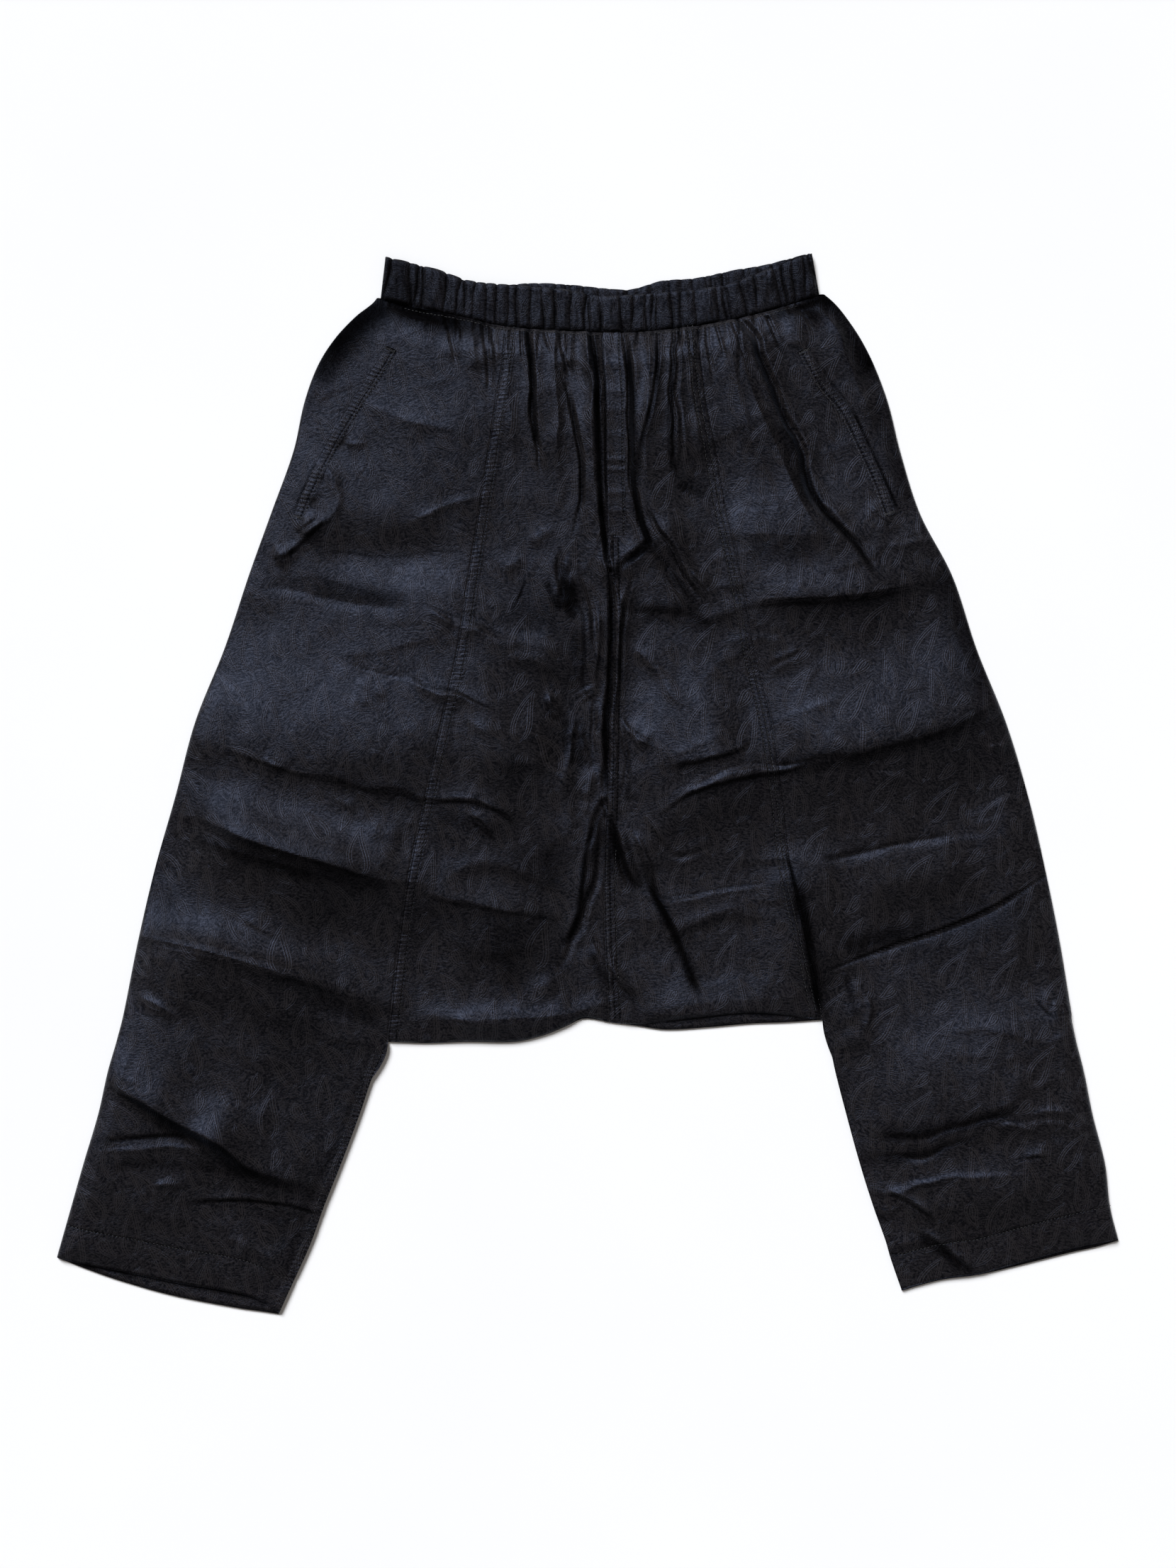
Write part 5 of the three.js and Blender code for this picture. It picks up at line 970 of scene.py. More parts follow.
def cloth_material(name, base, lift, rough, shine, figure=1.0, crinkle=1.0):
    g = Nodes(name)
    uvn = g.nt.nodes.new("ShaderNodeUVMap")
    uvn.uv_map = "Cloth"
    uv = uvn.outputs[0]
    sep = g.nt.nodes.new("ShaderNodeSeparateXYZ")
    g.nt.links.new(uv, sep.inputs[0])
    u, v = sep.outputs[0], sep.outputs[1]
    # paisley drops in a half-drop repeat, on a lightly wandering ground
    wander = g.noise(uv, 9.0, 1.0)
    wander2 = g.noise(g.combine(g.math("ADD", v, 3.1), u), 9.0, 1.0)
    pu = g.math("ADD", u, g.math("MULTIPLY", g.math("SUBTRACT", wander, 0.5), 0.022))
    pv = g.math("ADD", v, g.math("MULTIPLY", g.math("SUBTRACT", wander2, 0.5), 0.022))
    cell_u, cell_v = 0.044, 0.062
    lines = inside = None
    for k, (du, dv, wide, high, lean, turn) in enumerate((
        (0.0, 0.0, 0.0062, 0.036, 0.006, 0.10),
        (0.022, 0.031, 0.0054, 0.032, -0.006, -0.22),
        (0.021, 0.003, 0.0030, 0.017, -0.004, 2.9),
        (0.001, 0.033, 0.0026, 0.015, 0.003, 3.5),
    )):
        cu = g.math("MULTIPLY", g.math("SUBTRACT", g.math("FRACT", g.math("DIVIDE", g.math("ADD", pu, 5.0 + du), cell_u)), 0.5), cell_u)
        cv = g.math("MULTIPLY", g.math("SUBTRACT", g.math("FRACT", g.math("DIVIDE", g.math("ADD", pv, 5.0 + dv), cell_v)), 0.5), cell_v)
        one, within = boteh(g, cu, cv, wide, high, lean, turn)
        lines = one if lines is None else g.math("MAXIMUM", lines, one)
        inside = within if inside is None else g.math("MAXIMUM", inside, within)
    # fine engraved strokes that swirl round the figures
    swirl = g.noise(uv, 38.0, 1.0, 0.5, 0.5)
    sweep = g.noise(g.combine(g.math("ADD", v, 1.7), u), 38.0, 1.0, 0.5, 0.5)
    flow = g.combine(g.math("MULTIPLY", g.math("ADD", u, g.math("MULTIPLY", swirl, 0.030)), 0.30), g.math("ADD", v, g.math("MULTIPLY", sweep, 0.030)))
    strokes = g.noise(flow, 880.0, 1.0, 0.5)
    rings = g.math("SINE", g.math("MULTIPLY", swirl, 190.0))
    broken = g.ramp(g.noise(uv, 95.0, 2.0), 0.44, 0.62)
    rings = g.math("MULTIPLY", g.ramp(rings, 0.1, 0.95), broken)
    # twill ribs of the ground
    rib = g.math("SINE", g.math("MULTIPLY", g.math("ADD", u, g.math("MULTIPLY", v, 0.62)), 2 * math.pi / 0.00115))
    rib = g.math("MULTIPLY", rib, g.ramp(g.noise(uv, 260.0, 1.0), 0.35, 0.65, 0.35, 1.0))
    grain = g.noise(uv, 640.0, 3.0, 0.65)
    mottle = g.noise(uv, 330.0, 2.0, 0.6, 0.4)
    crumple = g.noise(uv, 62.0, 3.0, 0.62, 0.5)
    squash = g.nt.nodes.new("ShaderNodeMapping")
    squash.inputs["Scale"].default_value = (0.62, 1.25, 1.0)
    g.put(squash.inputs["Vector"], uv)
    crisp = g.math("ABSOLUTE", g.math("SUBTRACT", g.noise(squash.outputs[0], 27.0, 2.5, 0.55, 0.9), 0.5))
    crisp = g.math("MULTIPLY", crisp, g.ramp(g.noise(uv, 8.0, 1.0), 0.36, 0.66, 0.15, 1.0))
    crisp2 = g.math("ABSOLUTE", g.math("SUBTRACT", g.noise(uv, 74.0, 2.0, 0.5, 1.2), 0.5))
    crisp2 = g.math("MULTIPLY", crisp2, g.ramp(g.noise(uv, 13.0, 1.0), 0.4, 0.64, 0.1, 1.0))
    crumple2 = g.noise(uv, 150.0, 2.0, 0.6, 0.8)
    # puckers between a seam and its stitching
    s, d, k = g.attr("seam_s"), g.attr("seam_d"), g.attr("seam_k")
    jitter = g.math("MULTIPLY", g.math("SUBTRACT", g.noise(g.combine(s, 0.0), 0.35, 2.0), 0.5), 9.0)
    wave = g.math("SINE", g.math("ADD", g.math("MULTIPLY", g.math("ADD", s, g.math("MULTIPLY", d, 0.25)), 2 * math.pi / 3.7), jitter))
    band = g.math("MULTIPLY", g.ramp(d, -1.5, 0.8), g.ramp(d, 6.2, 10.5, 1.0, 0.0))
    uneven = g.ramp(g.noise(g.combine(s, 7.0), 0.06, 2.0), 0.35, 0.6, 0.3, 1.0)
    pucker = g.math("MULTIPLY", g.math("MULTIPLY", g.math("MULTIPLY", wave, band), k), uneven)
    # painted shade from the mesh: darker colour and less shine in folds, hollows and beside them
    painted_shade = g.attr("painted_shade")
    # dotted rows where the thread pulls the cloth down
    kind = g.attr("seam_t")

    def row(at):
        return g.ramp(g.math("ABSOLUTE", g.math("SUBTRACT", d, at)), 0.25, 1.15, 1.0, 0.0)

    one = g.math("MULTIPLY", row(6.6), g.ramp(kind, 0.4, 0.6, 1.0, 0.0))
    two = g.math("MULTIPLY", g.math("MAXIMUM", row(4.4), row(8.6)), g.math("MULTIPLY", g.ramp(kind, 0.4, 0.6), g.ramp(kind, 1.4, 1.6, 1.0, 0.0)))
    hem = g.math("MULTIPLY", row(0.0), g.ramp(kind, 1.4, 1.6))
    rows = g.math("MAXIMUM", g.math("MAXIMUM", one, two), hem)
    dots = g.ramp(g.math("SINE", g.math("MULTIPLY", s, 2 * math.pi / 3.1)), -0.4, 0.7, 0.45, 1.0)
    rows = g.math("MULTIPLY", g.math("MULTIPLY", rows, dots), g.ramp(k, 0.05, 0.25))

    height = g.math("MULTIPLY", lines, 0.15 * figure)
    height = g.math("ADD", height, g.math("MULTIPLY", inside, 0.05 * figure))
    height = g.math("ADD", height, g.math("MULTIPLY", strokes, 0.34))
    height = g.math("ADD", height, g.math("MULTIPLY", rings, -0.07 * figure))
    height = g.math("ADD", height, g.math("MULTIPLY", rib, 0.022))
    height = g.math("ADD", height, g.math("MULTIPLY", grain, 0.26))
    height = g.math("ADD", height, g.math("MULTIPLY", crumple, 0.06 * crinkle))
    height = g.math("ADD", height, g.math("MULTIPLY", crumple2, 0.07 * crinkle))
    height = g.math("ADD", height, g.math("MULTIPLY", pucker, 0.17))
    height = g.math("ADD", height, g.math("MULTIPLY", rows, -0.34))
    height = g.math("ADD", height, g.math("MULTIPLY", crisp, 0.9 * crinkle))
    height = g.math("ADD", height, g.math("MULTIPLY", crisp2, 0.30 * crinkle))
    height = g.math("ADD", height, g.math("MULTIPLY", mottle, 0.16))
    height = g.math("ADD", height, g.math("MULTIPLY", g.attr("relief"), 2.6))
    g.put(g.bsdf.inputs["Normal"], g.bump(height, 0.001, 1.0))

    fleck = g.ramp(grain, 0.38, 0.62)
    tone = g.math("ADD", g.math("MULTIPLY", lines, 0.7 * figure), g.math("MULTIPLY", fleck, 0.50))
    tone = g.math("ADD", tone, g.ramp(mottle, 0.36, 0.64, -0.10, 0.12))
    tone = g.math("ADD", tone, g.ramp(strokes, 0.38, 0.62, -0.18, 0.28))
    tone = g.math("ADD", tone, g.math("MULTIPLY", g.noise(uv, 6.0, 2.0), 0.30), clamp=True)
    # the dented stitch rows are darkened too, as painted shade in their dents
    painted_shade = g.math("MAXIMUM", painted_shade, g.math("MULTIPLY", rows, 0.80))
    g.put(g.bsdf.inputs["Base Color"], g.mix(g.math("MULTIPLY", painted_shade, 0.96), g.mix(tone, (*base, 1), (*lift, 1)), (0.0004, 0.0003, 0.0003, 1)))
    g.bsdf.inputs["Specular IOR Level"].default_value = shine
    g.put(g.bsdf.inputs["Specular IOR Level"], g.math("MULTIPLY", g.math("SUBTRACT", 1.0, g.math("MULTIPLY", painted_shade, 0.97)), g.math("MULTIPLY", g.ramp(tone, 0.1, 0.9, 0.62, 1.30), shine)))
    r = g.math("SUBTRACT", rough, g.math("MULTIPLY", inside, 0.035 * figure))
    r = g.math("SUBTRACT", r, g.math("MULTIPLY", lines, 0.05 * figure))
    r = g.math("ADD", r, g.math("MULTIPLY", g.math("SUBTRACT", crumple2, 0.5), 0.10))
    g.put(g.bsdf.inputs["Roughness"], r)
    g.bsdf.inputs["Specular Tint"].default_value = (0.50, 0.63, 1.0, 1)
    g.bsdf.inputs["Sheen Weight"].default_value = 0.02
    g.bsdf.inputs["Sheen Roughness"].default_value = 0.42
    g.bsdf.inputs["Sheen Tint"].default_value = (0.62, 0.70, 0.95, 1)
    return g.mat


def thread_material():
    g = Nodes("Thread")
    tc = g.nt.nodes.new("ShaderNodeTexCoord")
    n = g.noise(tc.outputs["Object"], 1400.0, 2.0)
    g.put(g.bsdf.inputs["Base Color"], g.mix(g.ramp(n, 0.3, 0.7), (0.004, 0.004, 0.005, 1), (0.011, 0.011, 0.014, 1)))
    g.put(g.bsdf.inputs["Roughness"], g.ramp(n, 0.2, 0.8, 0.42, 0.6))
    g.put(g.bsdf.inputs["Normal"], g.bump(n, 0.0001, 0.6))
    g.bsdf.inputs["Sheen Weight"].default_value = 0.15
    return g.mat


CLOTH_MAT = cloth_material("Jacquard cloth", (0.0008, 0.0005, 0.0004), (0.0150, 0.0122, 0.0112), 0.53, 0.225)
BAND_MAT = cloth_material("Waistband cloth", (0.0006, 0.0004, 0.0003), (0.0098, 0.0081, 0.0076), 0.53, 0.158, figure=0.5, crinkle=0.8)
THREAD = thread_material()

pieces = []


def keep(ob, slot, *replaced):
    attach(ob, "root")
    if replaced:
        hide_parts(*replaced)
    pieces.append(ob)
    return ob


# ---------------------------------------------------------------- seam coordinates for the puckers
SEAMS = [
    # line, side on which its stitching lies (+ left of travel), strength, kind: 0 one row, 1 two rows
    (SEAM_LEFT, 1, 1.0, 0),
    (SEAM_RIGHT, -1, 0.42, 1),
    (offset(SEAM_CENTRE, 0), 1, 0.6, 1),
    (INSEAM_LEFT, 1, 0.9, 0),
]


def seam_fields(P):
    x, y = P[..., 0].ravel(), P[..., 1].ravel()
    S, D, K, T = np.zeros_like(x), np.full_like(x, 99.0), np.zeros_like(x), np.zeros_like(x)
    for line, side, k, kind in SEAMS:
        lo, hi = line.min(0) - 16, line.max(0) + 16
        m = np.where((x > lo[0]) & (x < hi[0]) & (y > lo[1]) & (y < hi[1]))[0]
        if not len(m):
            continue
        d, s, total = nearest_on(line, x[m], y[m])
        d = d * side
        better = (np.abs(d) < np.abs(D[m])) & (np.abs(d) < 15)
        w = m[better]
        S[w], D[w], T[w] = s[better], d[better], kind
        K[w] = k * np.clip(np.minimum(s, total - s)[better] / 6, 0, 1)
    for hem, lo, hi in ((hemL["front"], -440, -235), (hemR["front"], 245, 440)):
        m = (x > lo) & (x < hi) & (y < -330)
        up = (y[m] - hem(x[m])) * 0.975
        near = np.abs(up - HEM_DEPTH + 4) < 9
        w = np.where(m)[0][near]
        take = np.abs(D[w]) > 9
        w = w[take]
        S[w], D[w], K[w], T[w] = x[w], (HEM_DEPTH - up[near][take]), 0.34, 2
    shape = P.shape[:2]
    return dict(seam_s=S.reshape(shape), seam_d=D.reshape(shape), seam_k=K.reshape(shape), seam_t=T.reshape(shape), painted_shade=painted_shade_of(P[..., 0], P[..., 1]), relief=0 * P[..., 0])


HALF = 0.16
UNDER_FRONT = 1.35


def steps(length, pitch):
    return np.linspace(0, 1, max(3, int(round(length / pitch)) + 1))


FINE = 1.0


def front_panel(name, P, sides, turn, about, tuck=5.0):
    z = front_height(P[..., 0], P[..., 1])
    relief = broad_relief(P[..., 0], P[..., 1])
    gaps = dict(zip(("left", "right", "top", "bottom"), edge_gap(P)))
    # seam allowances lie to one side of each seam and raise the cloth a little
    f = seam_fields(P)
    f["relief"] = relief
    z = z + 0.30 * f["seam_k"] * smooth(f["seam_d"] / 0.8) * smooth((9.0 - f["seam_d"]) / 1.4)
    for key, (kind, rows) in sides.items():
        gap = gaps[key]
        span = np.ones(z.shape[0])[:, None] if rows is None else rows[:, None]
        if kind == "seam":
            new = roll(z, gap, 1.5, z - 1.3)
        elif kind == "outline":
            new = roll(z, gap, 4.2, np.full_like(z, 1.15))
            # painted shade along the outline, where the cloth rolls under
            f["painted_shade"] = np.maximum(f["painted_shade"], 0.3 * np.exp(-((gap / 1.5) ** 2)) * span)
        elif kind == "hem":
            new = roll(z, gap, 0.9, z - 0.7)
        elif kind == "waist":
            new = roll(z, gap, 5.0, np.full_like(z, 2.6))
        z = z + (new - z) * span
    return shell(name, P, z, UNDER_FRONT - 0.25, tuck, CLOTH_MAT, f, spin(P, turn, about)), z


def side_patch(side, layer, pitch_u, pitch_v, drop):
    crotch_l = (float(outerL(CROTCH_Y["outerL"])), CROTCH_Y["outerL"])
    crotch_s = (float(seamL(CROTCH_Y["seamL"])) - HALF, CROTCH_Y["seamL"])
    if side == "left":
        u = steps(215, pitch_u)
        v1, v2 = steps(600, pitch_v), steps(205, pitch_v)
        body = patch(
            down(outerL, TOP["outerL"] - drop, CROTCH_Y["outerL"]),
            down(seamL, TOP["seamL"] - drop, CROTCH_Y["seamL"], -HALF),
            across(lambda x: bandSeam(x) - drop, float(outerL(TOP["outerL"] - drop)), float(seamL(TOP["seamL"] - drop)) - HALF),
            straight(crotch_l, crotch_s), u, v1)
        hem = hemL[layer]
        inner = lambda y: (seamL(CROTCH_Y["seamL"]) - HALF) * (1 - np.clip((CROTCH_Y["seamL"] - y) / 30, 0, 1)) + legInnerL(y) * np.clip((CROTCH_Y["seamL"] - y) / 30, 0, 1)
        leg = patch(
            down(legOuterL, CROTCH_Y["outerL"], -387),
            down(inner, CROTCH_Y["seamL"], float(hem(-252))),
            straight(crotch_l, crotch_s),
            across(hem, float(legOuterL(-387)), float(legInnerL(float(hem(-252))))), u, v2)
    else:
        crotch_s = (float(seamR(CROTCH_Y["seamR"])) + HALF, CROTCH_Y["seamR"])
        crotch_o = (float(outerR(CROTCH_Y["outerR"])), CROTCH_Y["outerR"])
        u = steps(205, pitch_u)
        v1, v2 = steps(590, pitch_v), steps(205, pitch_v)
        body = patch(
            down(seamR, TOP["seamR"] - drop, CROTCH_Y["seamR"], HALF),
            down(outerR, TOP["outerR"] - drop, CROTCH_Y["outerR"]),
            across(lambda x: bandSeam(x) - drop, float(seamR(TOP["seamR"] - drop)) + HALF, float(outerR(TOP["outerR"] - drop))),
            straight(crotch_s, crotch_o), u, v1)
        hem = hemR[layer]
        inner = lambda y: (seamR(CROTCH_Y["seamR"]) + HALF) * (1 - np.clip((CROTCH_Y["seamR"] - y) / 30, 0, 1)) + legInnerR(y) * np.clip((CROTCH_Y["seamR"] - y) / 30, 0, 1)
        leg = patch(
            down(inner, CROTCH_Y["seamR"], float(hem(257))),
            down(legOuterR, CROTCH_Y["outerR"], float(hem(433))),
            straight(crotch_s, crotch_o),
            across(hem, float(legInnerR(float(hem(257)))), float(legOuterR(float(hem(433))))), u, v2)
    P = np.concatenate([body, leg[1:]], 0)
    in_leg = np.concatenate([np.zeros(len(body)), np.ones(len(leg) - 1)])
    return P, in_leg


def centre_patch(side, layer, pitch_u, pitch_v, drop):
    crotch = crotchLine[layer]
    v = steps(580, pitch_v)
    if side == "left":
        return patch(
            down(seamL, TOP["seamL"] - drop, CROTCH_Y["seamL"], HALF),
            down(centre, TOP["centre"] - drop, CROTCH_Y["centre"], -HALF),
            across(lambda x: bandSeam(x) - drop, float(seamL(TOP["seamL"] - drop)) + HALF, float(centre(TOP["centre"] - drop)) - HALF),
            across(crotch, float(seamL(CROTCH_Y["seamL"])) + HALF, float(centre(CROTCH_Y["centre"])) - HALF), steps(135, pitch_u), v)
    return patch(
        down(centre, TOP["centre"] - drop, CROTCH_Y["centre"], HALF),
        down(seamR, TOP["seamR"] - drop, CROTCH_Y["seamR"], -HALF),
        across(lambda x: bandSeam(x) - drop, float(centre(TOP["centre"] - drop)) + HALF, float(seamR(TOP["seamR"] - drop)) - HALF),
        across(crotch, float(centre(CROTCH_Y["centre"])) + HALF, float(seamR(CROTCH_Y["seamR"])) - HALF), steps(130, pitch_u), v)


fronts = {}
P, leg = side_patch("left", "front", 1.35 * FINE, 1.4 * FINE, 0.4)
fronts["side_left"] = front_panel("Front_side_left", P, {
    "left": ("outline", None), "top": ("waist", None), "right": ("seam", 1 - leg), "bottom": ("hem", None)}, -15.5, (-240, 0))[0]
# below the crotch the inner edge is the rounded inner leg
P_left_leg = leg
P, leg = side_patch("right", "front", 1.3 * FINE, 1.4 * FINE, 0.4)
fronts["side_right"] = front_panel("Front_side_right", P, {
    "right": ("outline", None), "top": ("waist", None), "left": ("seam", 1 - leg), "bottom": ("hem", None)}, 14.5, (250, 0))[0]
P = centre_patch("left", "front", 0.95 * FINE, 1.5 * FINE, 0.4)
fronts["centre_left"] = front_panel("Front_centre_left", P, {
    "left": ("seam", None), "right": ("seam", None), "top": ("waist", None), "bottom": ("outline", None)}, -3, (0, 0))[0]
P = centre_patch("right", "front", 0.95 * FINE, 1.5 * FINE, 0.4)
fronts["centre_right"] = front_panel("Front_centre_right", P, {
    "left": ("seam", None), "right": ("seam", None), "top": ("waist", None), "bottom": ("outline", None)}, 5, (0, 0))[0]
for key, ob in fronts.items():
    keep(ob, "jacquard_cloth", "front_" + key)


# ---------------------------------------------------------------- back panels: flat below, seen at the hems and crotch
def back_panel(name, P, round_sides, turn, about):
    x, y = P[..., 0], P[..., 1]
    soft = lattice_noise(x, y, 46, 21) + 0.5 * lattice_noise(x, y, 19, 22)
    creases = np.zeros(x.size)
    creases = add_folds(creases, x.ravel(), y.ravel(), BACK_CREASES).reshape(x.shape)
    top = BACK_TOP - 0.10 + 0.05 * soft
    low = 0.12 + 0.10 * soft + np.clip(creases, 0, 0.6)
    low = np.clip(low, 0.0, 0.62)
    gaps = dict(zip(("left", "right", "top", "bottom"), edge_gap(P)))
    for key, rows in round_sides.items():
        t = np.clip(1 - gaps[key] / 2.4, 0, 1)
        g = 1 - np.sqrt(np.clip(1 - t * t, 0, 1))
        if rows is not None:
            g = g * rows[:, None]
        low = low + (0.72 - low) * g
        top = top + (0.90 - top) * g
    m, n = top.shape
    flat = P.reshape(-1, 2)
    verts = np.vstack([np.column_stack([flat, top.ravel()]), np.column_stack([flat, low.ravel()])])
    ring = ring_of(m, n)
    faces = [grid_faces(m, n), grid_faces(m, n, m * n, True), np.stack([ring, np.roll(ring, -1), np.roll(ring, -1) + m * n, ring + m * n], 1)[:, ::-1]]
    f = seam_fields(P)
    attrs = {k: np.concatenate([v.ravel(), v.ravel()]) for k, v in f.items()}
    uv = spin(P, turn, about).reshape(-1, 2)
    return new_mesh(name, verts, faces, CLOTH_MAT, np.vstack([uv, uv]), attrs)


BACK_CREASES = []
brng = np.random.default_rng(77)
for _ in range(90):
    cx, cy = brng.uniform(-430, 430), brng.uniform(-430, 390)
    a = brng.normal(0.0, 0.45) + (0.0 if brng.uniform() < 0.75 else 1.4)
    n = brng.uniform(14, 70)
    bend = brng.uniform(-0.2, 0.2) * n
    dx, dy = math.cos(a) * n, math.sin(a) * n
    BACK_CREASES.append(("crease", brng.uniform(0.2, 0.6), brng.uniform(3, 8), brng.uniform(2, 5), 0, 0, 1, 0, 0,
                         [(cx - dx, cy - dy), (cx - dy / n * bend, cy + dx / n * bend), (cx + dx, cy + dy)]))
for k in range(26):
    gx = -158 + k * 13.4 + brng.uniform(-4, 4)
    BACK_CREASES.append(("gather", brng.uniform(0.3, 0.6), 3, 3, 0, 0, 1, 1, 0,
                         [(gx, 400), (gx + brng.uniform(-4, 4), 372), (gx + brng.uniform(-10, 10), 372 - brng.uniform(15, 70))]))

backs = {}
P, leg = side_patch("left", "back", 3.6 * FINE, 3.4 * FINE, 0.9)
backs["side_left"] = back_panel("Back_side_left", P, {"left": None, "right": leg}, -15.5, (-200, 40))
P, leg = side_patch("right", "back", 3.6 * FINE, 3.4 * FINE, 0.9)
backs["side_right"] = back_panel("Back_side_right", P, {"right": None, "left": leg}, 14.5, (210, 40))
P = centre_patch("left", "back", 3.4 * FINE, 3.4 * FINE, 0.9)
backs["centre_left"] = back_panel("Back_centre_left", P, {"bottom": None}, -3, (10, 30))
P = centre_patch("right", "back", 3.4 * FINE, 3.4 * FINE, 0.9)
backs["centre_right"] = back_panel("Back_centre_right", P, {"bottom": None}, 5, (10, 30))
for key, ob in backs.items():
    keep(ob, "jacquard_cloth", "back_" + key)


# ---------------------------------------------------------------- waistband
def gathers_of(seed, start, stop, lo, hi):
    r = np.random.default_rng(seed)
    out = []
    x = start
    while x < stop:
        kind = r.uniform()
        step = r.uniform(lo, hi) * (0.45 if kind < 0.30 else 1.5 if kind > 0.86 else 1.0)
        out.append((x, r.uniform(-4.2, 4.2), r.uniform(0.25, 1.0), r.uniform() < 0.34, r.uniform(-0.5, 1.5)))
        x += step
    return out


def ribs(xs, vs, gathers, high, cleft):
    """Humps between uneven valleys, with painted shade in the valleys; xs along the band, vs from its top edge to its
    seam.
    """
    X, V = np.meshgrid(xs, vs)
    centres = [np.array([g[0] + g[1] * (vs - 0.5) + 0.5 * np.sin(6 * vs + g[4] * 3) for g in gathers])][0]  # (k, rows)
    z = np.zeros_like(X)
    for r in range(len(vs)):
        c = np.sort(centres[:, r])
        i = np.clip(np.searchsorted(c, xs), 1, len(c) - 1)
        a, b = c[i - 1], c[i]
        w = np.maximum(b - a, 0.5)
        t = np.clip((xs - a) / w, 0, 1)
        z[r] = high * np.clip(w / 11.0, 0.2, 1.3) * np.power(np.clip(4 * t * (1 - t), 0, 1), 0.5) * (0.8 + 0.4 * t)
    # painted shade in the valleys between the humps
    dark = np.zeros_like(X)
    for g, c in zip(gathers, centres):
        part = np.ones(len(vs)) if not g[3] else smooth(np.clip(1.4 * (vs if g[4] > 0.5 else 1 - vs), 0, 1))
        q = X - c[:, None]
        z -= (cleft * g[2] * part)[:, None] * np.exp(-np.abs(q / (0.5 + 0.6 * g[2])) ** 1.6)
        dark = np.maximum(dark, (0.9 * g[2] * part)[:, None] * np.exp(-np.abs(q / (0.35 + 0.5 * g[2])) ** 2))
    return z, dark


def band(name, column, base, thick, seed, overhang, ends_in, high, cleft, wrap):
    top_of = table(BAND, "x", column)
    E = BAND_ENDS
    L, R = ends_in, -ends_in
    left = straight((E["topLeft"] + L, float(top_of(E["topLeft"] + L))), (E["seamLeft"] + L, float(bandSeam(E["seamLeft"] + L)) - overhang))
    right = straight((E["topRight"] + R, float(top_of(E["topRight"] + R))), (E["seamRight"] + R, float(bandSeam(E["seamRight"] + R)) - overhang))
    n = int(440 / FINE)
    u = np.linspace(0, 1, n)
    v = np.concatenate([[0, 0.012, 0.035], np.linspace(0.07, 0.93, int(22 / FINE)), [0.965, 0.988, 1.0]])
    P = patch(left, right, across(top_of, E["topLeft"] + L, E["topRight"] + R),
              across(lambda x: bandSeam(x) - overhang, E["seamLeft"] + L, E["seamRight"] + R), u, v)
    along = np.linspace(E["topLeft"], E["topRight"], n)
    gath = gathers_of(seed, E["topLeft"] - 8, E["topRight"] + 12, 6.6, 12.5)
    rib, dark = ribs(along, v, gath, high, cleft)
    # painted shade, darker over the lower part of the band towards its seam
    dark = 1 - (1 - dark) * (1 - 0.55 * smooth((v[:, None] - 0.80) / 0.2))
    # painted shade at both ends of the band
    ends_at = along[None] - E["topLeft"], E["topRight"] - along[None]
    dark = 1 - (1 - dark) * (1 - 0.55 * np.exp(-((ends_at[0] / 36) ** 2))) * (1 - 0.35 * np.exp(-((ends_at[1] / 30) ** 2)))
    wide = 34.0
    d_top, d_low = v[:, None] * wide, (1 - v[:, None]) * wide
    puff = 0.75 * np.sqrt(np.clip(np.sin(np.pi * np.clip(0.06 + 0.88 * v, 0, 1)), 0, 1))[:, None]
    z = base + thick * (0.55 + 0.45 * puff / 0.75) + rib * (0.35 + 0.65 * smooth(np.minimum(d_top / 3.0, d_low / 2.0)))
    z += 0.30 * waves(P[..., 0], P[..., 1], seed + 1, 14, 60) + 0.14 * waves(P[..., 0], 0.35 * P[..., 1], seed + 2, 3.5, 9)
    for gap, radius in ((d_top, 2.4), (d_low, 1.8)):
        z = roll(z, np.broadcast_to(gap, z.shape), radius, np.full_like(z, base + 0.5 * thick))
    ends = np.minimum(np.arange(n), np.arange(n)[::-1])[None] * (354.0 / n)
    z = roll(z, np.broadcast_to(ends, z.shape), 3.5, np.full_like(z, wrap))
    # the folded edge is uneven where the gathers reach it
    edge = rib[1] - rib[1].mean()
    P[..., 1] += (0.55 * edge)[None] * np.exp(-((d_top / 3.0) ** 2))
    P[..., 1] += (0.22 * rib[-2] - 0.2)[None] * np.exp(-((d_low / 2.0) ** 2))
    m = len(v)
    flat = P.reshape(-1, 2)
    ring = ring_of(m, n)
    w = inward(P)
    verts = np.vstack([
        np.column_stack([flat, z.ravel()]),
        np.column_stack([flat[ring], np.minimum(z.ravel()[ring] - 0.05, wrap * 0.5 + base * 0.5 + 0.2)]),
        np.column_stack([flat[ring] + 1.0 * w, np.full(len(ring), base + 0.02)]),
    ])
    faces = [grid_faces(m, n)]
    last = ring
    at = m * n
    for _ in range(2):
        now = at + np.arange(len(ring))
        faces.append(np.stack([last, now, np.roll(now, -1), np.roll(last, -1)], 1)[:, ::-1])
        last = now
        at += len(ring)
    # a plain underside joins the two long edges
    k = m - 1
    lower = last[k:k + n - 1]  # along the seam, left to right
    upper = np.concatenate([last[k + n - 1 + m - 1:], last[:1]])[::-1][: n]
    low_full = np.concatenate([lower, last[k + n - 1:k + n]])
    faces.append(np.stack([upper[:-1], upper[1:], low_full[1:], low_full[:-1]], 1))
    nothing = np.zeros(len(verts))
    dark = np.concatenate([dark.ravel(), dark.ravel()[ring], dark.ravel()[ring]])
    uv = np.vstack([flat, flat[ring], flat[ring]])
    return new_mesh(name, verts, faces, BAND_MAT, uv, dict(seam_s=nothing, seam_d=nothing + 99, seam_k=nothing, seam_t=nothing, painted_shade=dark, relief=nothing))


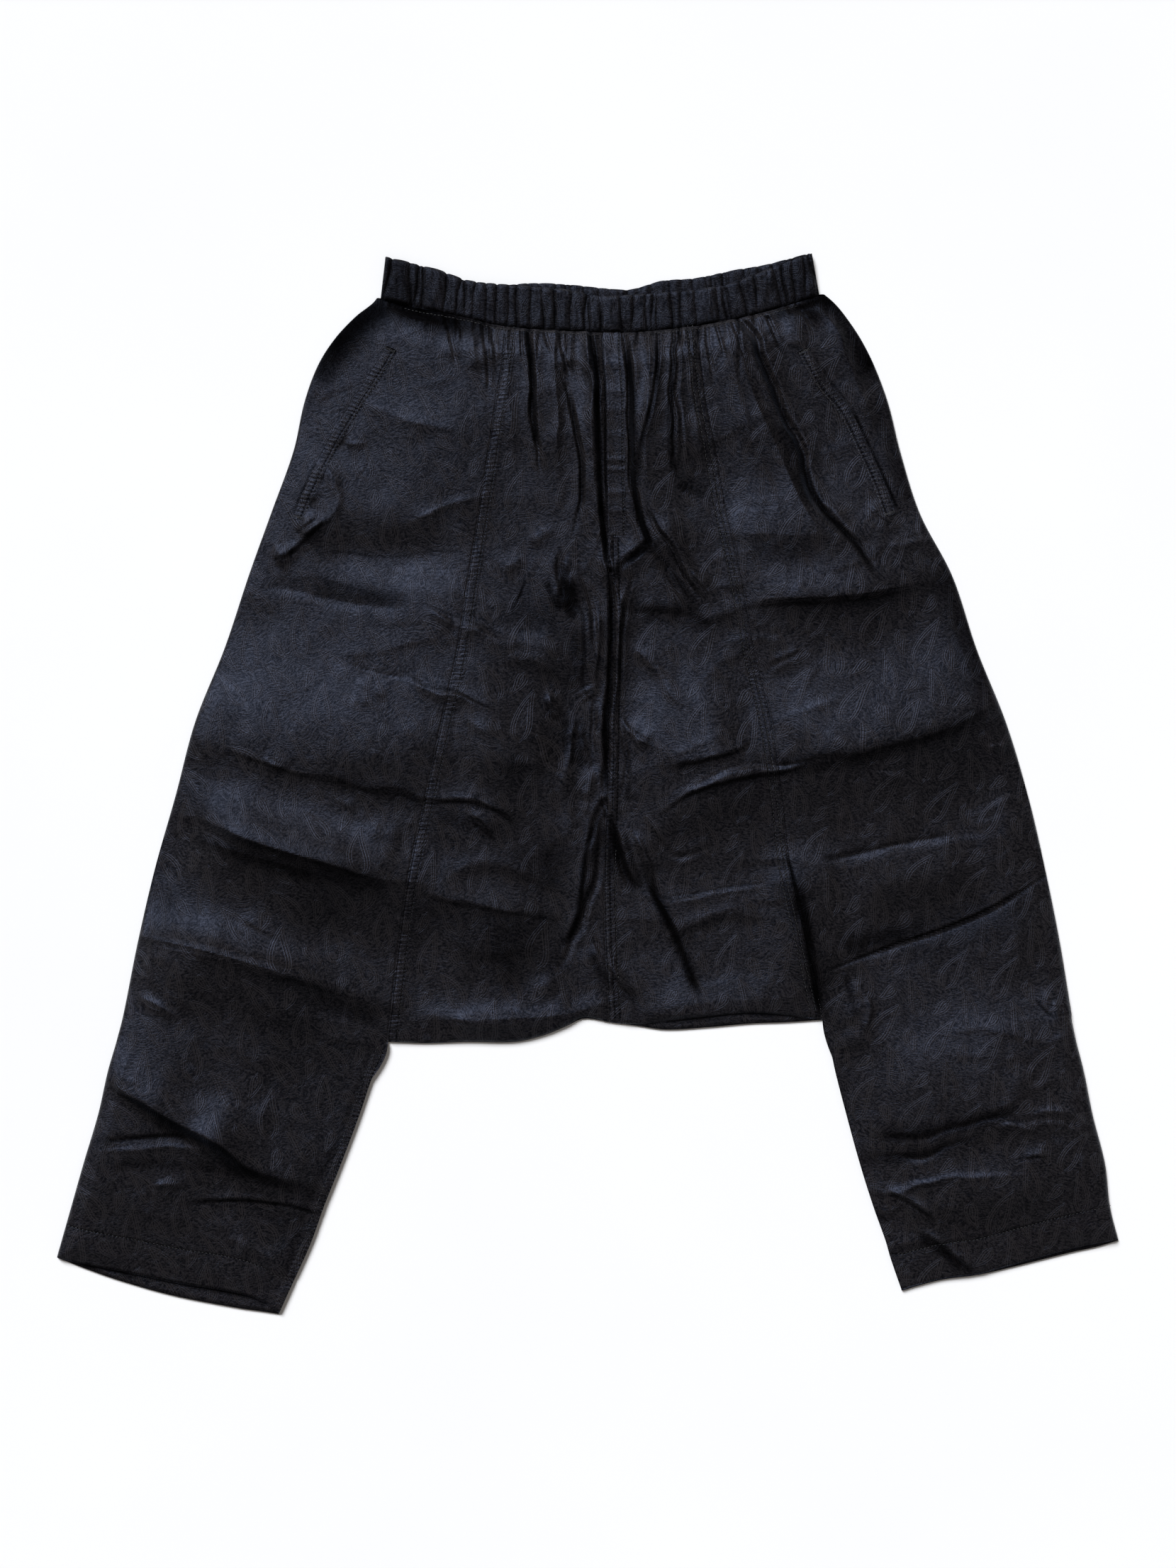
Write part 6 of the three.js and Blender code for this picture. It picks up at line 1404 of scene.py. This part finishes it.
band_back = keep(band("Waistband_back", "backTop", 0.0, 1.5, 5, 0.0, 2.0, 0.75, 0.6, 0.9), "waistband_cloth", "waistband_back")
band_front = keep(band("Waistband_front", "frontTop", BAND_WALL + GAP + 0.25, 1.9, 9, 1.4, 0.0, 1.5, 1.5, 1.2), "waistband_cloth", "waistband_front")


# ---------------------------------------------------------------- fly placket and pocket edges
def strip_piece(name, P, raise_by, bumps, replaced, pucker=0.5, kind=1, flip=False):
    z = front_height(P[..., 0], P[..., 1])
    # a doubled strip bridges the smallest folds under it
    z = 0.5 * z + 0.5 * np.median(z, axis=1, keepdims=True)
    z = z + raise_by
    for y0, h, w in bumps:
        z += h * np.exp(-(((P[..., 1] - y0) / w) ** 2))
    l, r, t, b = edge_gap(P)
    for gap in (l, r, b):
        z = roll(z, gap, 1.1, z - raise_by * 0.75)
    s = np.cumsum(np.concatenate([[0], np.linalg.norm(np.diff(P[:, 0], axis=0), axis=1)]))[:, None] + 0 * z
    f = dict(seam_s=s, seam_d=(r - 1.8 if kind == 2 else r if flip else l), seam_k=np.full_like(z, pucker), seam_t=np.full_like(z, kind), painted_shade=0 * z, relief=broad_relief(P[..., 0], P[..., 1]))
    m, n = z.shape
    flat = P.reshape(-1, 2)
    ring = ring_of(m, n)
    w = inward(P)
    verts = np.vstack([np.column_stack([flat, z.ravel()]), np.column_stack([flat[ring] + 0.1 * w, z.ravel()[ring] - 0.9]),
                       np.column_stack([flat[ring] + 1.2 * w, z.ravel()[ring] - 1.0])])
    faces = [grid_faces(m, n)]
    last, at = ring, m * n
    for _ in range(2):
        now = at + np.arange(len(ring))
        faces.append(np.stack([last, now, np.roll(now, -1), np.roll(last, -1)], 1)[:, ::-1])
        last = now
        at += len(ring)
    attrs = {k: np.concatenate([v.ravel()] + [v.ravel()[ring]] * 2) for k, v in f.items()}
    uv = np.vstack([flat, flat[ring], flat[ring]])
    return keep(new_mesh(name, verts, faces, CLOTH_MAT, uv, attrs), "jacquard_cloth", replaced)


vy = np.linspace(TOP["centre"] - 1.2, FLY_FOOT, int(110 / FINE))
vx = np.linspace(0.0, 1.0, int(18 / FINE))
P = np.stack(np.broadcast_arrays(centre(vy)[:, None] + 0.6 + vx[None] * (FLY_WIDTH - 0.6 + 0 * vy[:, None]), vy[:, None]), -1).copy()
placket = strip_piece("Fly_placket", P, 0.95, [(262.5, 1.1, 2.4), (254.5, 1.0, 2.0), (236.0, 0.9, 2.4), (221.0, 0.6, 2.2), (283.0, 0.5, 3.0), (318.0, 0.8, 3.4), (340.0, 0.5, 4.0), (303.0, 0.5, 3.0)], "fly_placket", 0.3, 2)


def pocket_strip(line_x, y0, y1, side, name, replaced):
    ys = np.linspace(y0, y1, int(80 / FINE))
    edge = np.stack([line_x(ys), ys], 1)
    inner = offset(edge, 9.5 * side)
    t = np.linspace(0, 1, int(12 / FINE))
    P = edge[:, None] * (1 - t)[None, :, None] + inner[:, None] * t[None, :, None]
    if side < 0:
        P = P[:, ::-1]
    return strip_piece(name, P, 0.9, [], replaced, 1.1, 0, side < 0), edge, inner


pocket_left, edge_pl, inner_pl = pocket_strip(pocketL, 356, 216, 1, "Pocket_edge_left", "pocket_edge_left")
pocket_right, edge_pr, inner_pr = pocket_strip(pocketR, 354, 219, -1, "Pocket_edge_right", "pocket_edge_right")


# ---------------------------------------------------------------- stitching, one mesh for each place
def resample(line, pitch):
    seg = np.linalg.norm(np.diff(line, axis=0), axis=1)
    s = np.concatenate([[0], np.cumsum(seg)])
    q = np.arange(0.5 * pitch, s[-1], pitch)
    return np.stack([np.interp(q, s, line[:, 0]), np.interp(q, s, line[:, 1])], 1), q


def stitch_mesh(name, lines, length=2.3, pitch=3.1, width=0.42, lift=0.22, seed=0, extra=None):
    """Rows of short threads that sink at both ends. lines holds (points, height function)."""
    r = np.random.default_rng(seed)
    verts, faces = [], []
    at = 0
    ts = np.array([-1.0, -0.55, 0.0, 0.55, 1.0])
    rad = np.array([0.15, 0.85, 1.0, 0.85, 0.15]) * width / 2
    ang = np.linspace(0, 2 * np.pi, 5, endpoint=False)
    for line, height in lines:
        centre_pts, _ = resample(line, pitch)
        if len(centre_pts) < 2:
            continue
        d = np.gradient(centre_pts, axis=0)
        d /= np.linalg.norm(d, axis=1)[:, None]
        centre_pts = centre_pts + r.normal(0, 0.10, centre_pts.shape)
        d = d + r.normal(0, 0.05, d.shape)
        d /= np.linalg.norm(d, axis=1)[:, None]
        half = length / 2 * r.uniform(0.85, 1.1, len(d))
        pts = centre_pts[:, None] + d[:, None] * (ts[None, :, None] * half[:, None, None])  # (k, 5, 2)
        zz = height(pts[..., 0], pts[..., 1]) + lift * (1 - np.abs(ts) ** 3)[None] - 0.12
        nrm = np.stack([-d[:, 1], d[:, 0]], 1)
        ring = pts[:, :, None, :] + nrm[:, None, None, :] * (rad[None, :, None, None] * np.cos(ang)[None, None, :, None])
        zr = zz[:, :, None] + rad[None, :, None] * np.sin(ang)[None, None, :]
        V = np.concatenate([ring, zr[..., None]], -1).reshape(-1, 3)
        k = len(centre_pts)
        b = at + np.arange(k)[:, None, None] * 25
        i = np.arange(4)[None, :, None] * 5
        j = np.arange(5)[None, None, :]
        j2 = (j + 1) % 5
        q = np.stack([b + i + j, b + i + j2, b + i + 5 + j2, b + i + 5 + j], -1).reshape(-1, 4)
        verts.append(V)
        faces.append(q)
        at += len(V)
    me_verts = np.vstack(verts)
    quads = np.vstack(faces)
    return keep(new_mesh(name, me_verts, [quads], THREAD), "jacquard_cloth")


def on_front(x, y):
    return front_height(x, y) + 0.12


def on_strip(by):
    return lambda x, y: front_height(x, y) + by


def between(line, y_hi, y_lo):
    return line[(line[:, 1] <= y_hi) & (line[:, 1] >= y_lo)]


left_stitch = offset(SEAM_LEFT, 6.6)
right_stitch_1 = offset(SEAM_RIGHT, -4.4)
right_stitch_2 = offset(SEAM_RIGHT, -8.6)
centre_low = between(SEAM_CENTRE, -50, -194)
waist_row = np.stack([np.linspace(50, 170, 60), bandSeam(np.linspace(50, 170, 60)) - 4.6], 1)
waist_row_l = np.stack([np.linspace(-150, 8, 60), bandSeam(np.linspace(-150, 8, 60)) - 4.2], 1)
xl = np.linspace(-424, -246, 90)
xr = np.linspace(252, 428, 90)
stitch_mesh("Stitches_front", [
    (left_stitch[:-1], on_front),
    (right_stitch_1[:-1], on_front),
    (right_stitch_2[:-1], on_front),
    (offset(centre_low, 1.6), on_front),
    (offset(centre_low, 8.6), on_front),
    (offset(INSEAM_LEFT, 6.0), on_front),
    (offset(INSEAM_LEFT, 1.0), on_front),
    (waist_row, on_front),
    (waist_row_l, on_front),
], seed=1)
stitch_mesh("Stitches_hems", [
    (np.stack([xl, hemL["front"](xl) + HEM_DEPTH / 0.975], 1), on_front),
    (np.stack([xr, hemR["front"](xr) + HEM_DEPTH / 0.975], 1), on_front),
], seed=2)


def on_placket(x, y):
    return front_height(x, y) + 1.0


fly_row = np.stack([centre(np.linspace(364, 203, 60)) + FLY_WIDTH - 1.8, np.linspace(364, 203, 60)], 1)
fly_foot = np.stack([np.linspace(15.5, 29.5, 12), np.full(12, 202.2)], 1)
stitch_mesh("Stitches_fly", [(fly_row, on_placket), (fly_foot, on_placket)], pitch=2.6, length=2.0, seed=3)


def bar(a, b, n, wide):
    """A bartack: close short threads across a line."""
    a, b = np.array(a, float), np.array(b, float)
    d = (b - a) / np.linalg.norm(b - a)
    nrm = np.array([-d[1], d[0]])
    out = []
    for t in np.linspace(0, 1, n):
        c = a + (b - a) * t
        out.append(np.array([c - nrm * wide / 2, c + nrm * wide / 2]))
    return out


pocket_rows = []
for edge, inner in ((edge_pl, inner_pl), (edge_pr, inner_pr)):
    for t in (4.4 / 9.5, 8.6 / 9.5):
        pocket_rows.append((edge * (1 - t) + inner * t, on_strip(1.0)))
stitch_mesh("Stitches_pockets", pocket_rows, pitch=2.9, length=2.1, width=0.36, seed=4)
bars = []
for edge, inner in ((edge_pl, inner_pl), (edge_pr, inner_pr)):
    for k in (1, -2):
        bars += bar(edge[k] * 0.95 + inner[k] * 0.05, edge[k] * 0.1 + inner[k] * 0.9, 9, 1.7)
stitch_mesh("Bartacks", [(b, on_strip(1.15)) for b in bars], pitch=0.84, length=1.2, width=0.5, seed=5)

# the back has the same seams, with their stitching on the underside
under = lambda x, y: np.full(np.shape(x), 0.34)
stitch_mesh("Stitches_back", [
    (offset(SEAM_LEFT, 6.6)[2:-2], under),
    (offset(SEAM_RIGHT, -6.6)[2:-2], under),
    (offset(sample(down(centre, TOP["centre"] - 4, CROTCH_Y["centre"] + 3), 60), 4.0), under),
    (np.stack([xl, hemL["back"](xl) + HEM_DEPTH], 1), under),
    (np.stack([xr, hemR["back"](xr) + HEM_DEPTH], 1), under),
], lift=0.02, width=0.3, seed=6)


# ---------------------------------------------------------------- floor, light, camera
def floor():
    g = Nodes("Pale floor")
    tc = g.nt.nodes.new("ShaderNodeTexCoord")
    n = g.noise(tc.outputs["Object"], 3.0, 4.0)
    g.put(g.bsdf.inputs["Base Color"], g.mix(n, (0.86, 0.86, 0.865, 1), (0.90, 0.90, 0.90, 1)))
    g.bsdf.inputs["Roughness"].default_value = 0.9
    g.bsdf.inputs["Specular IOR Level"].default_value = 0.1
    bpy.ops.mesh.primitive_plane_add(size=14, location=(0, 0, -0.0006))
    ob = bpy.context.object
    ob.name = "Floor"
    ob.data.materials.append(g.mat)


floor()


def area_light(name, place, aim, size, size_y, power, colour):
    data = bpy.data.lights.new(name, "AREA")
    data.shape = "RECTANGLE"
    data.size, data.size_y = size, size_y
    data.energy = power
    data.color = colour
    ob = bpy.data.objects.new(name, data)
    bpy.context.scene.collection.objects.link(ob)
    ob.location = place
    from mathutils import Vector
    ob.rotation_euler = (Vector(aim) - Vector(place)).to_track_quat("-Z", "Y").to_euler()
    return ob


def sun(name, azimuth, elevation, spread, strength, colour):
    """A wide soft light from far away; azimuth is measured from +X towards +Y."""
    data = bpy.data.lights.new(name, "SUN")
    data.angle = math.radians(spread)
    data.energy = strength
    data.color = colour
    ob = bpy.data.objects.new(name, data)
    bpy.context.scene.collection.objects.link(ob)
    from mathutils import Vector
    a, e = math.radians(azimuth), math.radians(elevation)
    d = Vector((math.cos(a) * math.cos(e), math.sin(a) * math.cos(e), math.sin(e)))
    ob.rotation_euler = (-d).to_track_quat("-Z", "Y").to_euler()
    ob.location = d * 3
    return ob


sun("Key", 120, 37, 28, 5.2, (0.95, 0.97, 1.0))
sun("Fill", -60, 45, 70, 0.25, (1.0, 0.86, 0.74))
world = bpy.data.worlds.new("Studio")
bpy.context.scene.world = world
world.use_nodes = True
world.node_tree.nodes["Background"].inputs[0].default_value = (1.0, 0.97, 0.94, 1)
world.node_tree.nodes["Background"].inputs[1].default_value = 0.12


scene = bpy.context.scene
cam_data = bpy.data.cameras.new("Camera")
cam_data.lens = 50
cam_data.sensor_width = 36
cam = bpy.data.objects.new("Camera", cam_data)
scene.collection.objects.link(cam)
FRAME_H = 2212 * 866.0 / 1499.0 * MM
cam.location = (0.0003, -0.0006, FRAME_H * 50 / 36 + 0.003)
cam.rotation_euler = (0, 0, 0)
cam_data.dof.use_dof = False
scene.camera = cam
scene.view_settings.view_transform = "Standard"
scene.view_settings.look = "None"
scene.view_settings.exposure = 0
scene.view_settings.gamma = 1
